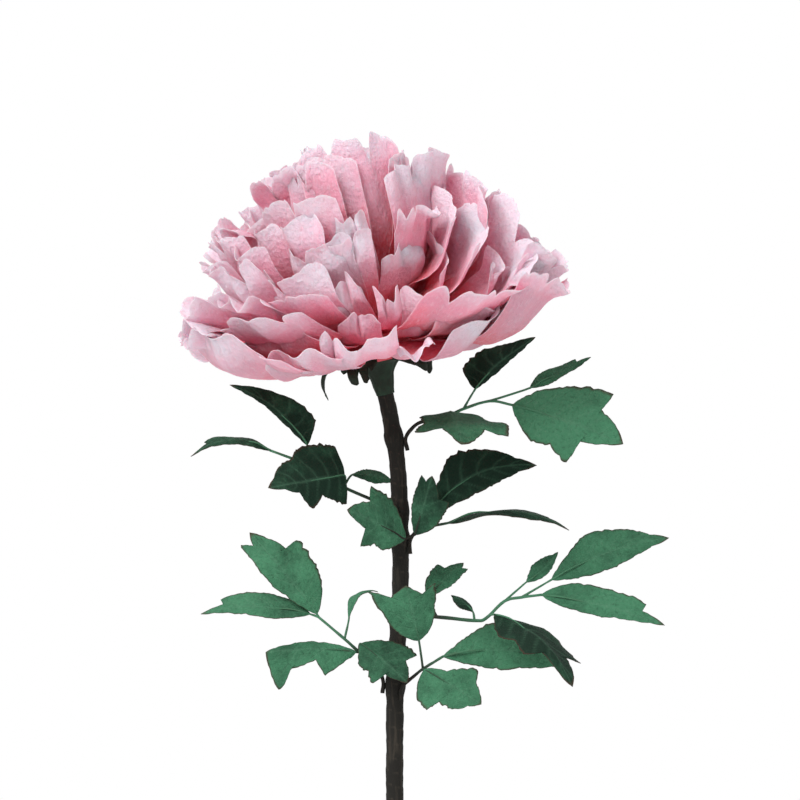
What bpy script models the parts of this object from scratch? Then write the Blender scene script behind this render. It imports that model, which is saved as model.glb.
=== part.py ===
"""Crepe paper peony on a tall pole, with leaf sprays bound to the pole.

The flower head is built the way a paper flower maker builds it: a round core is pushed onto the pole's
top, petals are glued to the core one after another, each a golden angle further round and a little
closer to the top, and a collar with five sepals covers the core's underside. Six wired sprays of paper
leaves are bound to the pole below the head.

Lengths are in metres and angles in degrees. +Z is up, X is to the right and -Y faces the viewer. The
origin is the centre of the pole's cut lower end.
"""

import math
import random

import bmesh
import bpy
from mathutils import Matrix, Vector

MM = 0.001

# Pole
POLE_LENGTH = 1.000
POLE_DIAMETER = 13.4 * MM
POLE_TOP_DIAMETER = 12.6 * MM
POLE_SIDES = 10
KNOT_SWELL = 1.3 * MM
KNOT_HALF_LENGTH = 11 * MM
# How far the pole's axis strays to the right of plumb, at distances below its top.
POLE_SWAY = (
    (0.300, 0.0),
    (0.265, 0.4 * MM),
    (0.226, 2.6 * MM),
    (0.196, 4.1 * MM),
    (0.165, 4.6 * MM),
    (0.127, 3.8 * MM),
    (0.096, 2.4 * MM),
    (0.070, -0.6 * MM),
)
NECK_LENGTH = 42 * MM
HEAD_OFFSET = Vector((-15 * MM, -5 * MM, 0))

# Flower head
HEAD_LEAN = 12
HEAD_NOD = 5
FLOWER_RADIUS = 158 * MM
CORE_RADIUS = 28 * MM
CORE_FLOOR_ANGLE = 114
CORE_SIDES = 18
CORE_RINGS = 6
SEAT_GAP = 0.3 * MM
BORE_CLEARANCE = 0.45 * MM

# Petals: the first is the lowest and outermost, the last stands over the middle.
PETAL_COUNT = 43
PETAL_PAPER = 0.6 * MM
PETAL_COLUMNS = 6
PETAL_ROWS = 4
GOLDEN_ANGLE = 180 * (3 - math.sqrt(5))
FIRST_PETAL_BEARING = 200
PETAL_SEED = 11
SEAT_ANGLES = (94, 13)
OPEN_ANGLES = (94, 16)
TIP_ANGLES = (83, 9)
PETAL_WIDTHS = (106 * MM, 80 * MM)
SEAT_WIDTHS = (17 * MM, 9 * MM)
REACH_SPREAD = (0.95, 1.03)
WIDTH_SPREAD = (0.88, 1.06)
PETAL_CUPS = (7.0, 1.5)
ROLL_ANGLES = (2.0, 0.4)
WAVE_ANGLES = (1.2, 0.3)
STRAY_ANGLES = (1.0, 0.3)
LOBE_PLACES = (-0.667, -0.333, 0.0, 0.333, 0.667)
NOTCH_COUNTS = (1, 2, 2)
NOTCH_DEPTHS = (0.04, 0.11)
NOTCH_REACH = 0.3
# Share of its width that a petal loses at each corner of its free edge.
CORNER_CUT = 0.21
CORNER_SHARPNESS = 4
WIDEST_AT = 0.72
FLARE_POWER = 1.1
# Shares of the reach over which a petal leaves its seat's tilt, turns to its tip's, and cups.
OPENING = (0.0, 0.6)
CURLING = (0.45, 1.05)
CUPPING = (0.0, 0.8)
WAVES_ACROSS = 1.1
HALF_TURN_CAP = 62
STEEPEST_MIDDLE = 8
STEEPEST_EDGE = 2
# The head is parted in front: petals whose tips lie between these tilts are turned aside, and the
# effect rises over the first two tilts and falls over the last two.
PARTING_BEARING = 276
PARTING_TURN = 18
PARTING_HALF_WIDTH = 60
PARTING_TILTS = (25, 50, 68, 76)
# Share of a change of the tip's tilt that the middle of the petal takes too.
OPEN_SHARE = 0.6
# Petals with a place of their own in the head, in the terms of petal_traits, but with widths and reaches
# in shares of the flower's radius.
PLACED = {
    1: {"bearing": 211, "tip": 81, "width": 0.70, "cup": 3},
    2: {"bearing": 344, "tip": 84},
    4: {"bearing": 259, "tip": 84, "width": 0.46, "reach": 0.92},
    7: {"bearing": 316, "tip": 75, "width": 0.64, "reach": 0.95},
    9: {"bearing": 233, "tip": 73, "width": 0.52, "reach": 0.93, "roll": -3, "cup": 3},
    10: {"bearing": 350, "tip": 68, "width": 0.54, "reach": 0.94, "roll": 3},
    12: {"bearing": 250, "tip": 60, "width": 0.36, "reach": 0.87, "cup": 3},
    14: {"bearing": 205, "tip": 64, "width": 0.50, "reach": 1.02, "roll": -2, "cup": 3},
    15: {"bearing": 334, "tip": 58, "width": 0.54, "reach": 0.95, "cup": 3},
    17: {"bearing": 221, "tip": 57, "width": 0.46, "reach": 0.99, "roll": -3, "cup": 3},
    18: {"reach": 0.92},
    20: {"bearing": 326, "tip": 48, "width": 0.52, "reach": 0.94, "cup": 3},
    22: {"bearing": 206, "tip": 47, "width": 0.46, "reach": 1.01, "roll": -3, "cup": 3},
    23: {"bearing": 349, "reach": 0.94},
    25: {"bearing": 256, "tip": 43, "width": 0.40, "reach": 0.86},
    27: {"reach": 0.90},
    28: {"bearing": 314, "tip": 36, "width": 0.52, "reach": 0.95},
    30: {"bearing": 241, "tip": 32, "width": 0.44, "reach": 0.95},
    31: {"reach": 0.97},
    33: {"bearing": 284, "tip": 22, "width": 0.54, "reach": 1.05},
    38: {"bearing": 236, "tip": 18, "width": 0.50, "reach": 1.02},
}

# Calyx
COLLAR_LENGTH = 27 * MM
COLLAR_WALL = 0.8 * MM
COLLAR_SIDES = 14
# Its outline from the rim down, as shares of the flare outwards and of the length.
COLLAR_PROFILE = ((1.0, 0.0), (0.42, 0.12), (0.16, 0.32), (0.05, 0.6), (0.0, 1.0))
SEPAL_COUNT = 5
SEPAL_COLUMNS = 4
SEPAL_ROWS = 3
SEPAL_CUP = 4
SEPAL_WAVE = 1.5
SEPAL_NOTCHES = ((-0.5, 0.2), (0.5, 0.2))
SEPAL_PAPER = 0.7 * MM
SEPAL_REACH = 56 * MM
SEPAL_REACH_SPREAD = (0.9, 1.05)
SEPAL_WIDTH = 36 * MM
SEPAL_SEAT_WIDTH = 29 * MM
SEPAL_SEAT_ANGLE = 104
SEPAL_OPEN_ANGLE = 107
SEPAL_TIP_ANGLE = 108
SEPAL_STRAY = 3
SEPAL_BEARING = 20

# Leaf sprays
LEAF_PAPER = 0.7 * MM
STALK_DIAMETER = 3.2 * MM
TWIG_DIAMETER = 2.2 * MM
STALK_SIDES = 6
TWIG_SIDES = 4
TWIG_TAPER = 0.25
TWIG_IN_LEAF = 0.12
STALK_ROOT_LENGTH = 10 * MM
LEAF_FOLD = 0.16

# Leaf outlines, as (along, out) in shares of the leaf's length. The first row is the left edge from
# the base to the tip, seen on the leaf's face, and the second row is the right edge.
LEAF_OUTLINES = {
    "three_lobed": (
        ((0.10, 0.12), (0.27, 0.25), (0.50, 0.36), (0.78, 0.37), (0.72, 0.20), (0.90, 0.11)),
        ((0.08, 0.10), (0.26, 0.24), (0.42, 0.22), (0.60, 0.31), (0.64, 0.11), (0.86, 0.06)),
    ),
    "forward_lobed": (
        ((0.12, 0.06), (0.33, 0.12), (0.56, 0.16), (0.78, 0.15), (0.96, 0.14), (0.88, 0.06)),
        ((0.06, 0.10), (0.22, 0.24), (0.42, 0.29), (0.66, 0.32), (0.66, 0.17), (0.84, 0.10)),
    ),
    "forked": (
        ((0.10, 0.08), (0.28, 0.16), (0.48, 0.16), (0.62, 0.15), (0.82, 0.12), (0.79, 0.055)),
        ((0.12, 0.05), (0.28, 0.08), (0.45, 0.08), (0.60, 0.06), (0.76, 0.04), (0.88, 0.02)),
    ),
    "blade": (
        ((0.08, 0.06), (0.20, 0.13), (0.38, 0.22), (0.60, 0.19), (0.78, 0.12), (0.86, 0.06)),
        ((0.10, 0.05), (0.24, 0.10), (0.42, 0.13), (0.58, 0.12), (0.70, 0.09), (0.84, 0.05)),
    ),
    "half": (
        ((0.04, 0.15), (0.10, 0.29), (0.30, 0.28), (0.54, 0.20), (0.76, 0.11), (0.90, 0.05)),
        ((0.10, 0.03), (0.25, 0.05), (0.42, 0.06), (0.58, 0.05), (0.72, 0.04), (0.87, 0.02)),
    ),
    "ivy": (
        ((0.01, 0.36), (0.20, 0.42), (0.52, 0.40), (0.62, 0.29), (0.76, 0.25), (0.90, 0.10)),
        ((0.04, 0.33), (0.20, 0.26), (0.33, 0.18), (0.48, 0.32), (0.62, 0.12), (0.80, 0.05)),
    ),
    "comb": (
        ((0.12, 0.10), (0.36, 0.26), (0.46, 0.12), (0.72, 0.18), (0.86, 0.40), (0.95, 0.18)),
        ((0.10, 0.03), (0.26, 0.06), (0.42, 0.07), (0.58, 0.07), (0.74, 0.05), (0.90, 0.03)),
    ),
    "fan": (
        ((0.08, 0.16), (0.28, 0.36), (0.55, 0.46), (1.00, 0.62), (0.84, 0.30), (0.93, 0.14)),
        ((0.08, 0.14), (0.30, 0.32), (0.55, 0.40), (0.90, 0.48), (0.78, 0.24), (0.90, 0.10)),
    ),
    "hand": (
        ((0.10, 0.08), (0.30, 0.14), (0.45, 0.30), (0.66, 0.42), (0.74, 0.24), (0.88, 0.14)),
        ((0.02, 0.22), (0.14, 0.40), (0.36, 0.48), (0.44, 0.30), (0.68, 0.28), (0.84, 0.12)),
    ),
}

# Sprays. Each is (name, distance of its root below the pole's top, bearing of the root round the pole,
# stalk points after the root, leaflets). A leaflet is (outline, stalk point that its twig leaves, base,
# tip, direction that its face looks, breadth, bend, arch). Breadth stretches the outline across, and is
# negative for a mirrored one; bend bows the leaf sideways and arch bows it towards its face, both in
# shares of its length. Points are in millimetres from the pole's axis at the root.
SPRAYS = (
    (
        "leaf_spray_upper_right", 0.071, 70,
        ((17, -6, 10), (28, -9, 14), (44, -11, 18), (53, -12, 22), (73, -13, 28), (90, -15, 25)),
        (
            ("three_lobed", 2, (42, -15, 19), (50, -84, -4), (0.0, -0.3, 1.0), 1.4, 0.0, 0.1),
            ("half", 3, (62, -8, 37), (109, 12, 76), (-0.2, -1.0, 0.2), 1.05, 0.05, 0.03),
            ("forked", 4, (104, -6, 38), (152, 12, 61), (0.0, -0.62, 0.8), 1.0, 0.0, 0.02),
            ("three_lobed", 5, (90, -15, 25), (174, -26, -4), (0.0, -1.0, 0.35), 1.05, 0.0, 0.06),
        ),
    ),
    (
        "leaf_spray_middle_right", 0.150, 50,
        ((13, -8, 8), (22, -11, 11), (37, -12, 14)),
        (
            ("blade", 0, (23, -4, 20), (105, 12, 56), (-0.1, -1.0, 0.25), 1.15, 0.15, 0.04),
            ("forked", 2, (37, -12, 14), (128, -22, 6), (0.0, -0.3, 1.0), 1.0, 0.0, 0.15),
            ("three_lobed", 0, (4, -17, 2), (-40, -32, 25), (0.1, -1.0, 0.3), -1.3, 0.0, 0.06),
            ("forward_lobed", 0, (11, -17, 5), (24, -22, 50), (0.0, -1.0, 0.1), 1.2, 0.0, 0.05),
        ),
    ),
    (
        "leaf_spray_upper_left", 0.128, -100,
        ((-19, 4, 8), (-43, 0, 19), (-71, 2, 36), (-99, -2, 47)),
        (
            ("ivy", 1, (-42, -6, 28), (-100, -30, 19), (0.1, -1.0, 0.2), -1.05, 0.0, 0.05),
            ("half", 2, (-71, 1, 51), (-131, 8, 98), (0.2, -1.0, 0.2), -0.8, -0.08, 0.05),
            ("forked", 3, (-99, -2, 47), (-159, -16, 45), (0.0, -0.55, 1.0), -1.0, 0.0, 0.17),
            ("blade", 1, (-37, 9, 28), (-3, 26, 22), (0.0, -0.8, 0.6), 1.0, 0.0, 0.06),
        ),
    ),
    (
        "leaf_spray_lower_left", 0.257, -80,
        ((-16, -3, 14), (-28, -6, 22), (-39, -8, 32), (-59, -10, 49)),
        (
            ("forward_lobed", 3, (-60, -10, 51), (-111, -12, 114), (0.15, -1.0, 0.2), 1.0, 0.0, 0.04),
            ("forked", 3, (-65, -9, 51), (-148, -20, 54), (0.0, -0.75, 0.65), -1.1, 0.0, 0.09),
            ("comb", 1, (-30, -9, 22), (-99, -24, 23), (0.0, -1.0, 0.3), 1.05, -0.03, 0.06),
            ("blade", 2, (-36, -1, 46), (-13, 16, 65), (-0.6, -0.5, 0.7), 0.9, 0.0, 0.35),
            ("three_lobed", 1, (-27, -14, 29), (9, -30, 0), (0.2, -1.0, 0.4), 1.25, 0.0, 0.08),
        ),
    ),
    (
        "leaf_spray_lower_right", 0.209, 95,
        ((29, 4, 0), (58, 6, -3), (67, 6, -1), (81, 6, 12), (94, 5, 15), (109, 4, 17)),
        (
            ("blade", 4, (117, 10, 28), (209, 18, 61), (0.0, -1.0, 0.4), 0.95, 0.04, 0.04),
            ("blade", 3, (98, 14, 26), (123, 19, 49), (0.0, -1.0, 0.3), 1.1, -0.05, 0.03),
            ("forked", 5, (109, 4, 17), (203, -6, -7), (0.0, -1.0, 0.45), 1.0, 0.02, 0.05),
            ("blade", 1, (57, 12, 3), (40, 24, 15), (0.0, -0.4, 1.0), 1.3, 0.0, 0.1),
            ("three_lobed", 2, (72, -24, 4), (130, -76, -42), (0.5, -0.6, 0.8), 0.8, 0.0, 0.1),
            ("forward_lobed", 0, (22, 11, 15), (50, 26, 41), (-0.2, -1.0, 0.4), -1.1, 0.0, 0.05),
        ),
    ),
    (
        "leaf_spray_front", 0.262, 30,
        ((14, -14, 9), (21, -18, 15), (36, -24, 25)),
        (
            ("fan", 1, (18, -24, 37), (8, -34, 80), (0.0, -1.0, 0.15), 1.0, 0.0, 0.08),
            ("blade", 2, (36, -24, 25), (134, -6, 13), (0.0, -1.0, 0.5), 1.05, 0.09, 0.03),
            ("hand", 1, (22, -22, 15), (65, -38, -10), (0.0, -1.0, 0.35), 1.0, 0.0, 0.06),
        ),
    ),
)

# Colours
PETAL_PINK = (0.86, 0.42, 0.50)
LEAF_GREEN = (0.055, 0.19, 0.11)
CALYX_GREEN = (0.03, 0.055, 0.035)
BARK_BROWN = (0.045, 0.036, 0.030)
CORE_PINK = (0.62, 0.10, 0.13)


def clear_scene():
    """Empty the file of the objects that it opens with."""
    for obj in list(bpy.data.objects):
        bpy.data.objects.remove(obj, do_unlink=True)


def paper_material(name, colour, roughness=0.9):
    """A matt paper finish of one colour."""
    material = bpy.data.materials.new(name)
    material.use_nodes = True
    shader = material.node_tree.nodes["Principled BSDF"]
    shader.inputs["Base Color"].default_value = (*colour, 1.0)
    shader.inputs["Roughness"].default_value = roughness
    shader.inputs["Metallic"].default_value = 0.0
    return material


def add_object(name, mesh, material, smooth=True):
    """Link a mesh to the scene as a named object."""
    mesh.materials.append(material)
    if smooth:
        mesh.shade_smooth()
    obj = bpy.data.objects.new(name, mesh)
    bpy.context.scene.collection.objects.link(obj)
    return obj


def mesh_from(bm, name):
    """Turn a bmesh into a mesh with its faces pointing out."""
    mesh = bpy.data.meshes.new(name)
    bmesh.ops.recalc_face_normals(bm, faces=bm.faces)
    bm.to_mesh(mesh)
    bm.free()
    return mesh


def solidify(obj, thickness):
    """Give a sheet the thickness of its paper, half to each side."""
    wall = obj.modifiers.new("paper", "SOLIDIFY")
    wall.thickness = thickness
    wall.offset = 0.0
    wall.use_even_offset = False
    wall.use_quality_normals = True


def hide_helper(obj):
    """Keep a shape that only feeds a Boolean out of the model."""
    obj.hide_render = True
    obj.display_type = "WIRE"


def mix(pair, share):
    """The value a share of the way from the first of a pair to the second."""
    return pair[0] + (pair[1] - pair[0]) * share


def ease(share, span=(0.0, 1.0)):
    """A smooth rise from 0 to 1 over a span."""
    share = min(1.0, max(0.0, (share - span[0]) / (span[1] - span[0])))
    return share * share * (3 - 2 * share)


def tube(name, points, radii, sides, material):
    """A capped round tube through points, with its own radius at each."""
    curve = bpy.data.curves.new(name, "CURVE")
    curve.dimensions = "3D"
    curve.bevel_depth = 1.0
    curve.bevel_resolution = sides // 2 - 2
    curve.use_fill_caps = True
    spline = curve.splines.new("POLY")
    spline.points.add(len(points) - 1)
    for control, point, radius in zip(spline.points, points, radii):
        control.co = (*point, 1.0)
        control.radius = radius
    holder = bpy.data.objects.new(name, curve)
    bpy.context.scene.collection.objects.link(holder)
    graph = bpy.context.evaluated_depsgraph_get()
    mesh = bpy.data.meshes.new_from_object(holder.evaluated_get(graph))
    bpy.data.objects.remove(holder, do_unlink=True)
    bm = bmesh.new()
    bm.from_mesh(mesh)
    bpy.data.meshes.remove(mesh)
    bmesh.ops.remove_doubles(bm, verts=bm.verts, dist=min(radii) * 0.01)
    return add_object(name, mesh_from(bm, name), material)


def smooth_path(points, steps):
    """A Catmull-Rom curve through points, with steps short runs between each two."""
    padded = [points[0] * 2 - points[1], *points, points[-1] * 2 - points[-2]]
    path = []
    for before, start, end, after in zip(padded, padded[1:], padded[2:], padded[3:]):
        for step in range(steps):
            t = step / steps
            path.append(
                0.5
                * (
                    2 * start
                    + (end - before) * t
                    + (2 * before - 5 * start + 4 * end - after) * t * t
                    + (3 * start - before - 3 * end + after) * t**3
                )
            )
    path.append(points[-1])
    return path


def head_frame():
    """The matrix from the flower head's frame, +Z out of the flower, to the world."""
    centre = Vector((0, 0, POLE_LENGTH)) + HEAD_OFFSET
    lean = Matrix.Rotation(math.radians(-HEAD_LEAN), 4, "Y")
    nod = Matrix.Rotation(math.radians(HEAD_NOD), 4, "X")
    return Matrix.Translation(centre) @ lean @ nod


def pole_path():
    """Points of the pole's axis from its foot to its top, the last run straight into the head."""
    neck = head_frame() @ Vector((0, 0, -NECK_LENGTH))
    guides = [Vector((0, 0, 0)), Vector((0, 0, 0.5 * (POLE_LENGTH - POLE_SWAY[0][0])))]
    guides += [Vector((stray, 0, POLE_LENGTH - drop)) for drop, stray in POLE_SWAY]
    guides += [neck, head_frame() @ Vector((0, 0, 0))]
    bottom, middle, sway = guides[0], guides[1], guides[2:]
    return [bottom, middle] + smooth_path(sway, 3)


def pole_axis_at(height):
    """The point of the pole's axis at a height."""
    path = pole_path()
    for low, high in zip(path, path[1:]):
        if low.z <= height <= high.z:
            return low.lerp(high, (height - low.z) / (high.z - low.z))
    return path[-1]


def pole_radius_at(height):
    """The pole's radius at a height, with a swelling at each spray's binding."""
    share = ease((height - (POLE_LENGTH - POLE_SWAY[0][0])) / POLE_SWAY[0][0])
    radius = mix((POLE_DIAMETER, POLE_TOP_DIAMETER), share) / 2
    swell = max(ease(1 - abs(height - knot) / KNOT_HALF_LENGTH) for knot in knot_heights())
    return radius + KNOT_SWELL * swell


def knot_heights():
    """Heights at which a spray is bound to the pole."""
    return [POLE_LENGTH - spray[1] for spray in SPRAYS]


def make_pole(material):
    """The tape-wrapped pole, from its cut foot to its end inside the core."""
    path = pole_path()
    neck_foot = (head_frame() @ Vector((0, 0, -NECK_LENGTH))).z
    heights = {0.0, POLE_LENGTH}
    for knot in knot_heights():
        for share in (-1, 0, 1):
            heights.add(knot + share * KNOT_HALF_LENGTH)
    heights |= {point.z for point in path}
    kept = []
    for height in sorted(heights):
        if not kept or height - kept[-1] > 2 * MM or height == POLE_LENGTH:
            kept.append(height)
    kept = [h for h in kept if h <= neck_foot] + [neck_foot + 1 * MM, POLE_LENGTH]
    points = [pole_axis_at(h) for h in kept]
    radii = [pole_radius_at(h) if h <= neck_foot else POLE_TOP_DIAMETER / 2 for h in kept]
    return tube("pole", points, radii, POLE_SIDES, material)


def spun(name, profile, sides, material, frame):
    """A solid turned round the head's axis from a closed profile of (radius, height) points."""
    bm = bmesh.new()
    verts = [bm.verts.new((radius, 0, height)) for radius, height in profile]
    edges = [bm.edges.new(pair) for pair in zip(verts, verts[1:])]
    if profile[0][0] > 0:
        edges.append(bm.edges.new((verts[-1], verts[0])))
    bmesh.ops.spin(
        bm, geom=verts + edges, cent=(0, 0, 0), axis=(0, 0, 1), angle=math.tau, steps=sides, use_merge=True
    )
    bmesh.ops.remove_doubles(bm, verts=bm.verts, dist=0.01 * MM)
    bmesh.ops.dissolve_degenerate(bm, edges=bm.edges, dist=0.001 * MM)
    bm.transform(frame)
    obj = add_object(name, mesh_from(bm, name), material)
    obj.data.set_sharp_from_angle(angle=math.radians(50))
    return obj


def core_floor():
    """Height of the core's flat underside in the head's frame."""
    return CORE_RADIUS * math.cos(math.radians(CORE_FLOOR_ANGLE))


def bore_radius():
    """Radius of the bores that the pole passes through."""
    return POLE_TOP_DIAMETER / 2 + BORE_CLEARANCE


def make_core(material):
    """The round core that every petal is glued to, with a blind socket for the pole."""
    profile = [(0, SEAT_GAP), (bore_radius(), SEAT_GAP), (bore_radius(), core_floor())]
    for ring in range(CORE_RINGS + 1):
        angle = math.radians(CORE_FLOOR_ANGLE * (1 - ring / CORE_RINGS))
        profile.append((CORE_RADIUS * math.sin(angle), CORE_RADIUS * math.cos(angle)))
    profile[-1] = (0, CORE_RADIUS)
    return spun("flower_core", profile, CORE_SIDES, material, head_frame())


def make_collar(material):
    """The trumpet of dark paper round the pole, under the core."""
    top = core_floor() - SEAT_GAP
    foot = bore_radius() + COLLAR_WALL
    flare = CORE_RADIUS * math.sin(math.radians(CORE_FLOOR_ANGLE)) - 2 * COLLAR_WALL - foot
    outer = [(foot + flare * out, top - COLLAR_LENGTH * down) for out, down in COLLAR_PROFILE]
    profile = [(bore_radius(), top), (bore_radius(), top - COLLAR_LENGTH), *reversed(outer)]
    return spun("calyx_collar", profile, COLLAR_SIDES, material, head_frame())


def petal_traits(number):
    """What sets one petal apart: its place in the spiral and the small accidents of hand work."""
    rng = random.Random(PETAL_SEED * 1000 + number)
    age = number / (PETAL_COUNT - 1)
    stray = mix(STRAY_ANGLES, age)
    lobes = rng.sample(LOBE_PLACES, rng.choice(NOTCH_COUNTS))
    traits = {
        "bearing": FIRST_PETAL_BEARING + number * GOLDEN_ANGLE,
        "seat": mix(SEAT_ANGLES, age),
        "open": mix(OPEN_ANGLES, age) + stray * rng.uniform(-0.5, 0.5),
        "tip": mix(TIP_ANGLES, age) + stray * rng.uniform(-1, 1),
        "reach": FLOWER_RADIUS * rng.uniform(*REACH_SPREAD),
        "width": mix(PETAL_WIDTHS, age) * rng.uniform(*WIDTH_SPREAD),
        "seat_width": mix(SEAT_WIDTHS, age),
        "cup": mix(PETAL_CUPS, age),
        "roll": mix(ROLL_ANGLES, age) * rng.uniform(-1, 1),
        "wave": mix(WAVE_ANGLES, age),
        "phase": rng.uniform(0, math.tau),
        "notches": [(where, rng.uniform(*NOTCH_DEPTHS)) for where in lobes],
    }
    placed = PLACED.get(number + 1)
    if placed:
        traits["open"] += OPEN_SHARE * (placed.get("tip", traits["tip"]) - traits["tip"])
        traits.update(placed)
        for size in ("width", "reach"):
            if size in placed:
                traits[size] = placed[size] * FLOWER_RADIUS
    else:
        traits["bearing"] += parting_turn(traits["bearing"] % 360, traits["tip"])
    return traits


def parting_turn(bearing, tilt):
    """How far the parting turns aside a petal with a bearing and a tip's tilt."""
    aside = bearing - PARTING_BEARING
    near = max(0.0, 1 - abs(aside) / PARTING_HALF_WIDTH)
    tall = ease(tilt, PARTING_TILTS[:2]) * (1 - ease(tilt, PARTING_TILTS[2:]))
    return math.copysign(PARTING_TURN * near * tall, aside)


def petal_edge(traits, across):
    """How far out the petal's free edge lies at a place across it, as a share of its reach."""
    cut = sum(depth * max(0.0, 1 - abs(across - where) / NOTCH_REACH) for where, depth in traits["notches"])
    corner = CORNER_CUT * traits["width"] / traits["reach"]
    return 1 - corner * across**CORNER_SHARPNESS - cut


def petal_point(traits, across, along):
    """A point of a petal in the head's frame. Across runs from -1 to 1 and along from 0 to 1.

    A petal is placed by its distance from the head's centre, its tilt from the head's axis and its
    bearing round it. Tilts fall steadily from petal to petal, so that each nests inside the last.
    """
    share = along * petal_edge(traits, across)
    seat = CORE_RADIUS + SEAT_GAP
    radius = seat + (traits["reach"] - seat) * share
    middle = (
        traits["seat"]
        + (traits["open"] - traits["seat"]) * ease(share, OPENING)
        + (traits["tip"] - traits["open"]) * ease(share, CURLING)
    )
    tilt = (
        middle
        - traits["cup"] * across * across * ease(share, CUPPING)
        + traits["roll"] * across * share
        + traits["wave"] * share * share * math.sin(WAVES_ACROSS * math.tau * across + traits["phase"])
    )
    tilt = math.radians(max(STEEPEST_EDGE, tilt))
    spread = math.sin(0.5 * math.pi * min(1.0, share / WIDEST_AT)) ** FLARE_POWER
    half_width = (traits["seat_width"] + (traits["width"] - traits["seat_width"]) * spread) / 2
    ring = radius * math.sin(math.radians(max(STEEPEST_MIDDLE, middle)))
    turn = min(half_width / ring, math.radians(HALF_TURN_CAP))
    bearing = math.radians(traits["bearing"]) + across * turn
    return radius * Vector(
        (math.sin(tilt) * math.cos(bearing), math.sin(tilt) * math.sin(bearing), math.cos(tilt))
    )


def sheet(name, columns, rows, place, thickness, material):
    """A paper sheet: a grid whose points go where place(across, along) says, in the head's frame."""
    bm = bmesh.new()
    bmesh.ops.create_grid(bm, x_segments=columns, y_segments=rows, size=1.0)
    for vert in bm.verts:
        vert.co = place(vert.co.x, (vert.co.y + 1) / 2)
    bm.transform(head_frame())
    obj = add_object(name, mesh_from(bm, name), material)
    solidify(obj, thickness)
    return obj


def make_petals(material):
    """Every petal of the spiral, from the outermost to the innermost."""
    for number in range(PETAL_COUNT):
        traits = petal_traits(number)

        def place(across, along, traits=traits):
            return petal_point(traits, across, along)

        sheet(f"petal_{number + 1:02d}", PETAL_COLUMNS, PETAL_ROWS, place, PETAL_PAPER, material)


def sepal_traits(number):
    """The size and place of one sepal, in the terms that petal_point reads."""
    rng = random.Random(number)
    return {
        "bearing": SEPAL_BEARING + number * 360 / SEPAL_COUNT,
        "seat": SEPAL_SEAT_ANGLE,
        "open": SEPAL_OPEN_ANGLE,
        "tip": SEPAL_TIP_ANGLE + rng.uniform(-SEPAL_STRAY, SEPAL_STRAY),
        "reach": SEPAL_REACH * rng.uniform(*SEPAL_REACH_SPREAD),
        "width": SEPAL_WIDTH,
        "seat_width": SEPAL_SEAT_WIDTH,
        "cup": SEPAL_CUP,
        "roll": rng.uniform(-SEPAL_STRAY, SEPAL_STRAY),
        "wave": SEPAL_WAVE,
        "phase": rng.uniform(0, math.tau),
        "notches": SEPAL_NOTCHES,
    }


def make_sepals(material):
    """The ring of sepals under the lowest petals."""
    for number in range(SEPAL_COUNT):
        traits = sepal_traits(number)

        def place(across, along, traits=traits):
            return petal_point(traits, across, along)

        sheet(f"sepal_{number + 1}", SEPAL_COLUMNS, SEPAL_ROWS, place, SEPAL_PAPER, material)


def leaf_frame(base, tip, face):
    """Axes of a leaf: along its midrib, to its left seen on its face, and out of its face."""
    along = (tip - base).normalized()
    normal = (face - along * face.dot(along)).normalized()
    return along, normal.cross(along), normal


def leaf_point(leaflet, along, out):
    """A point of a leaf from its place along the midrib and out to the left, in shares of its length."""
    _, _, base, tip, face, breadth, bend, arch = leaflet
    length = (tip - base).length
    forward, left, normal = leaf_frame(base, tip, face)
    bow = 4 * along * (1 - along)
    side = out * breadth + bend * bow
    rise = arch * bow - LEAF_FOLD * abs(out)
    return base + length * (forward * along + left * side + normal * rise)


def make_leaf_blade(name, leaflet, material):
    """One paper leaf blade: a midrib with a fan of strips out to the lobed edge on each side."""
    outline = LEAF_OUTLINES[leaflet[0]]
    count = len(outline[0])
    bm = bmesh.new()
    midrib = [bm.verts.new(leaf_point(leaflet, i / (count + 1), 0.0)) for i in range(count + 2)]
    for edge, sign in zip(outline, (1, -1)):
        rim = [bm.verts.new(leaf_point(leaflet, along, sign * out)) for along, out in edge]
        rim = [midrib[0], *rim, midrib[-1]]
        for i in range(count + 1):
            corners = [midrib[i], midrib[i + 1], rim[i + 1], rim[i]]
            corners = [v for k, v in enumerate(corners) if v not in corners[:k]]
            bm.faces.new(corners if sign < 0 else corners[::-1])
    mesh = bpy.data.meshes.new(name)
    bm.to_mesh(mesh)
    bm.free()
    obj = add_object(name, mesh, material)
    solidify(obj, LEAF_PAPER)
    hide_helper(obj)
    return obj


def spray_root(drop, bearing):
    """The first two points of a stalk, which lie along the pole's skin, and the pole's axis there."""
    height = POLE_LENGTH - drop
    axis = pole_axis_at(height)
    away = math.radians(bearing)
    outwards = Vector((math.sin(away), -math.cos(away), 0))
    distance = pole_radius_at(height) + SEAT_GAP + STALK_DIAMETER / 2
    below = pole_axis_at(height - STALK_ROOT_LENGTH)
    return axis, [below + outwards * distance, axis + outwards * distance]


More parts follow.
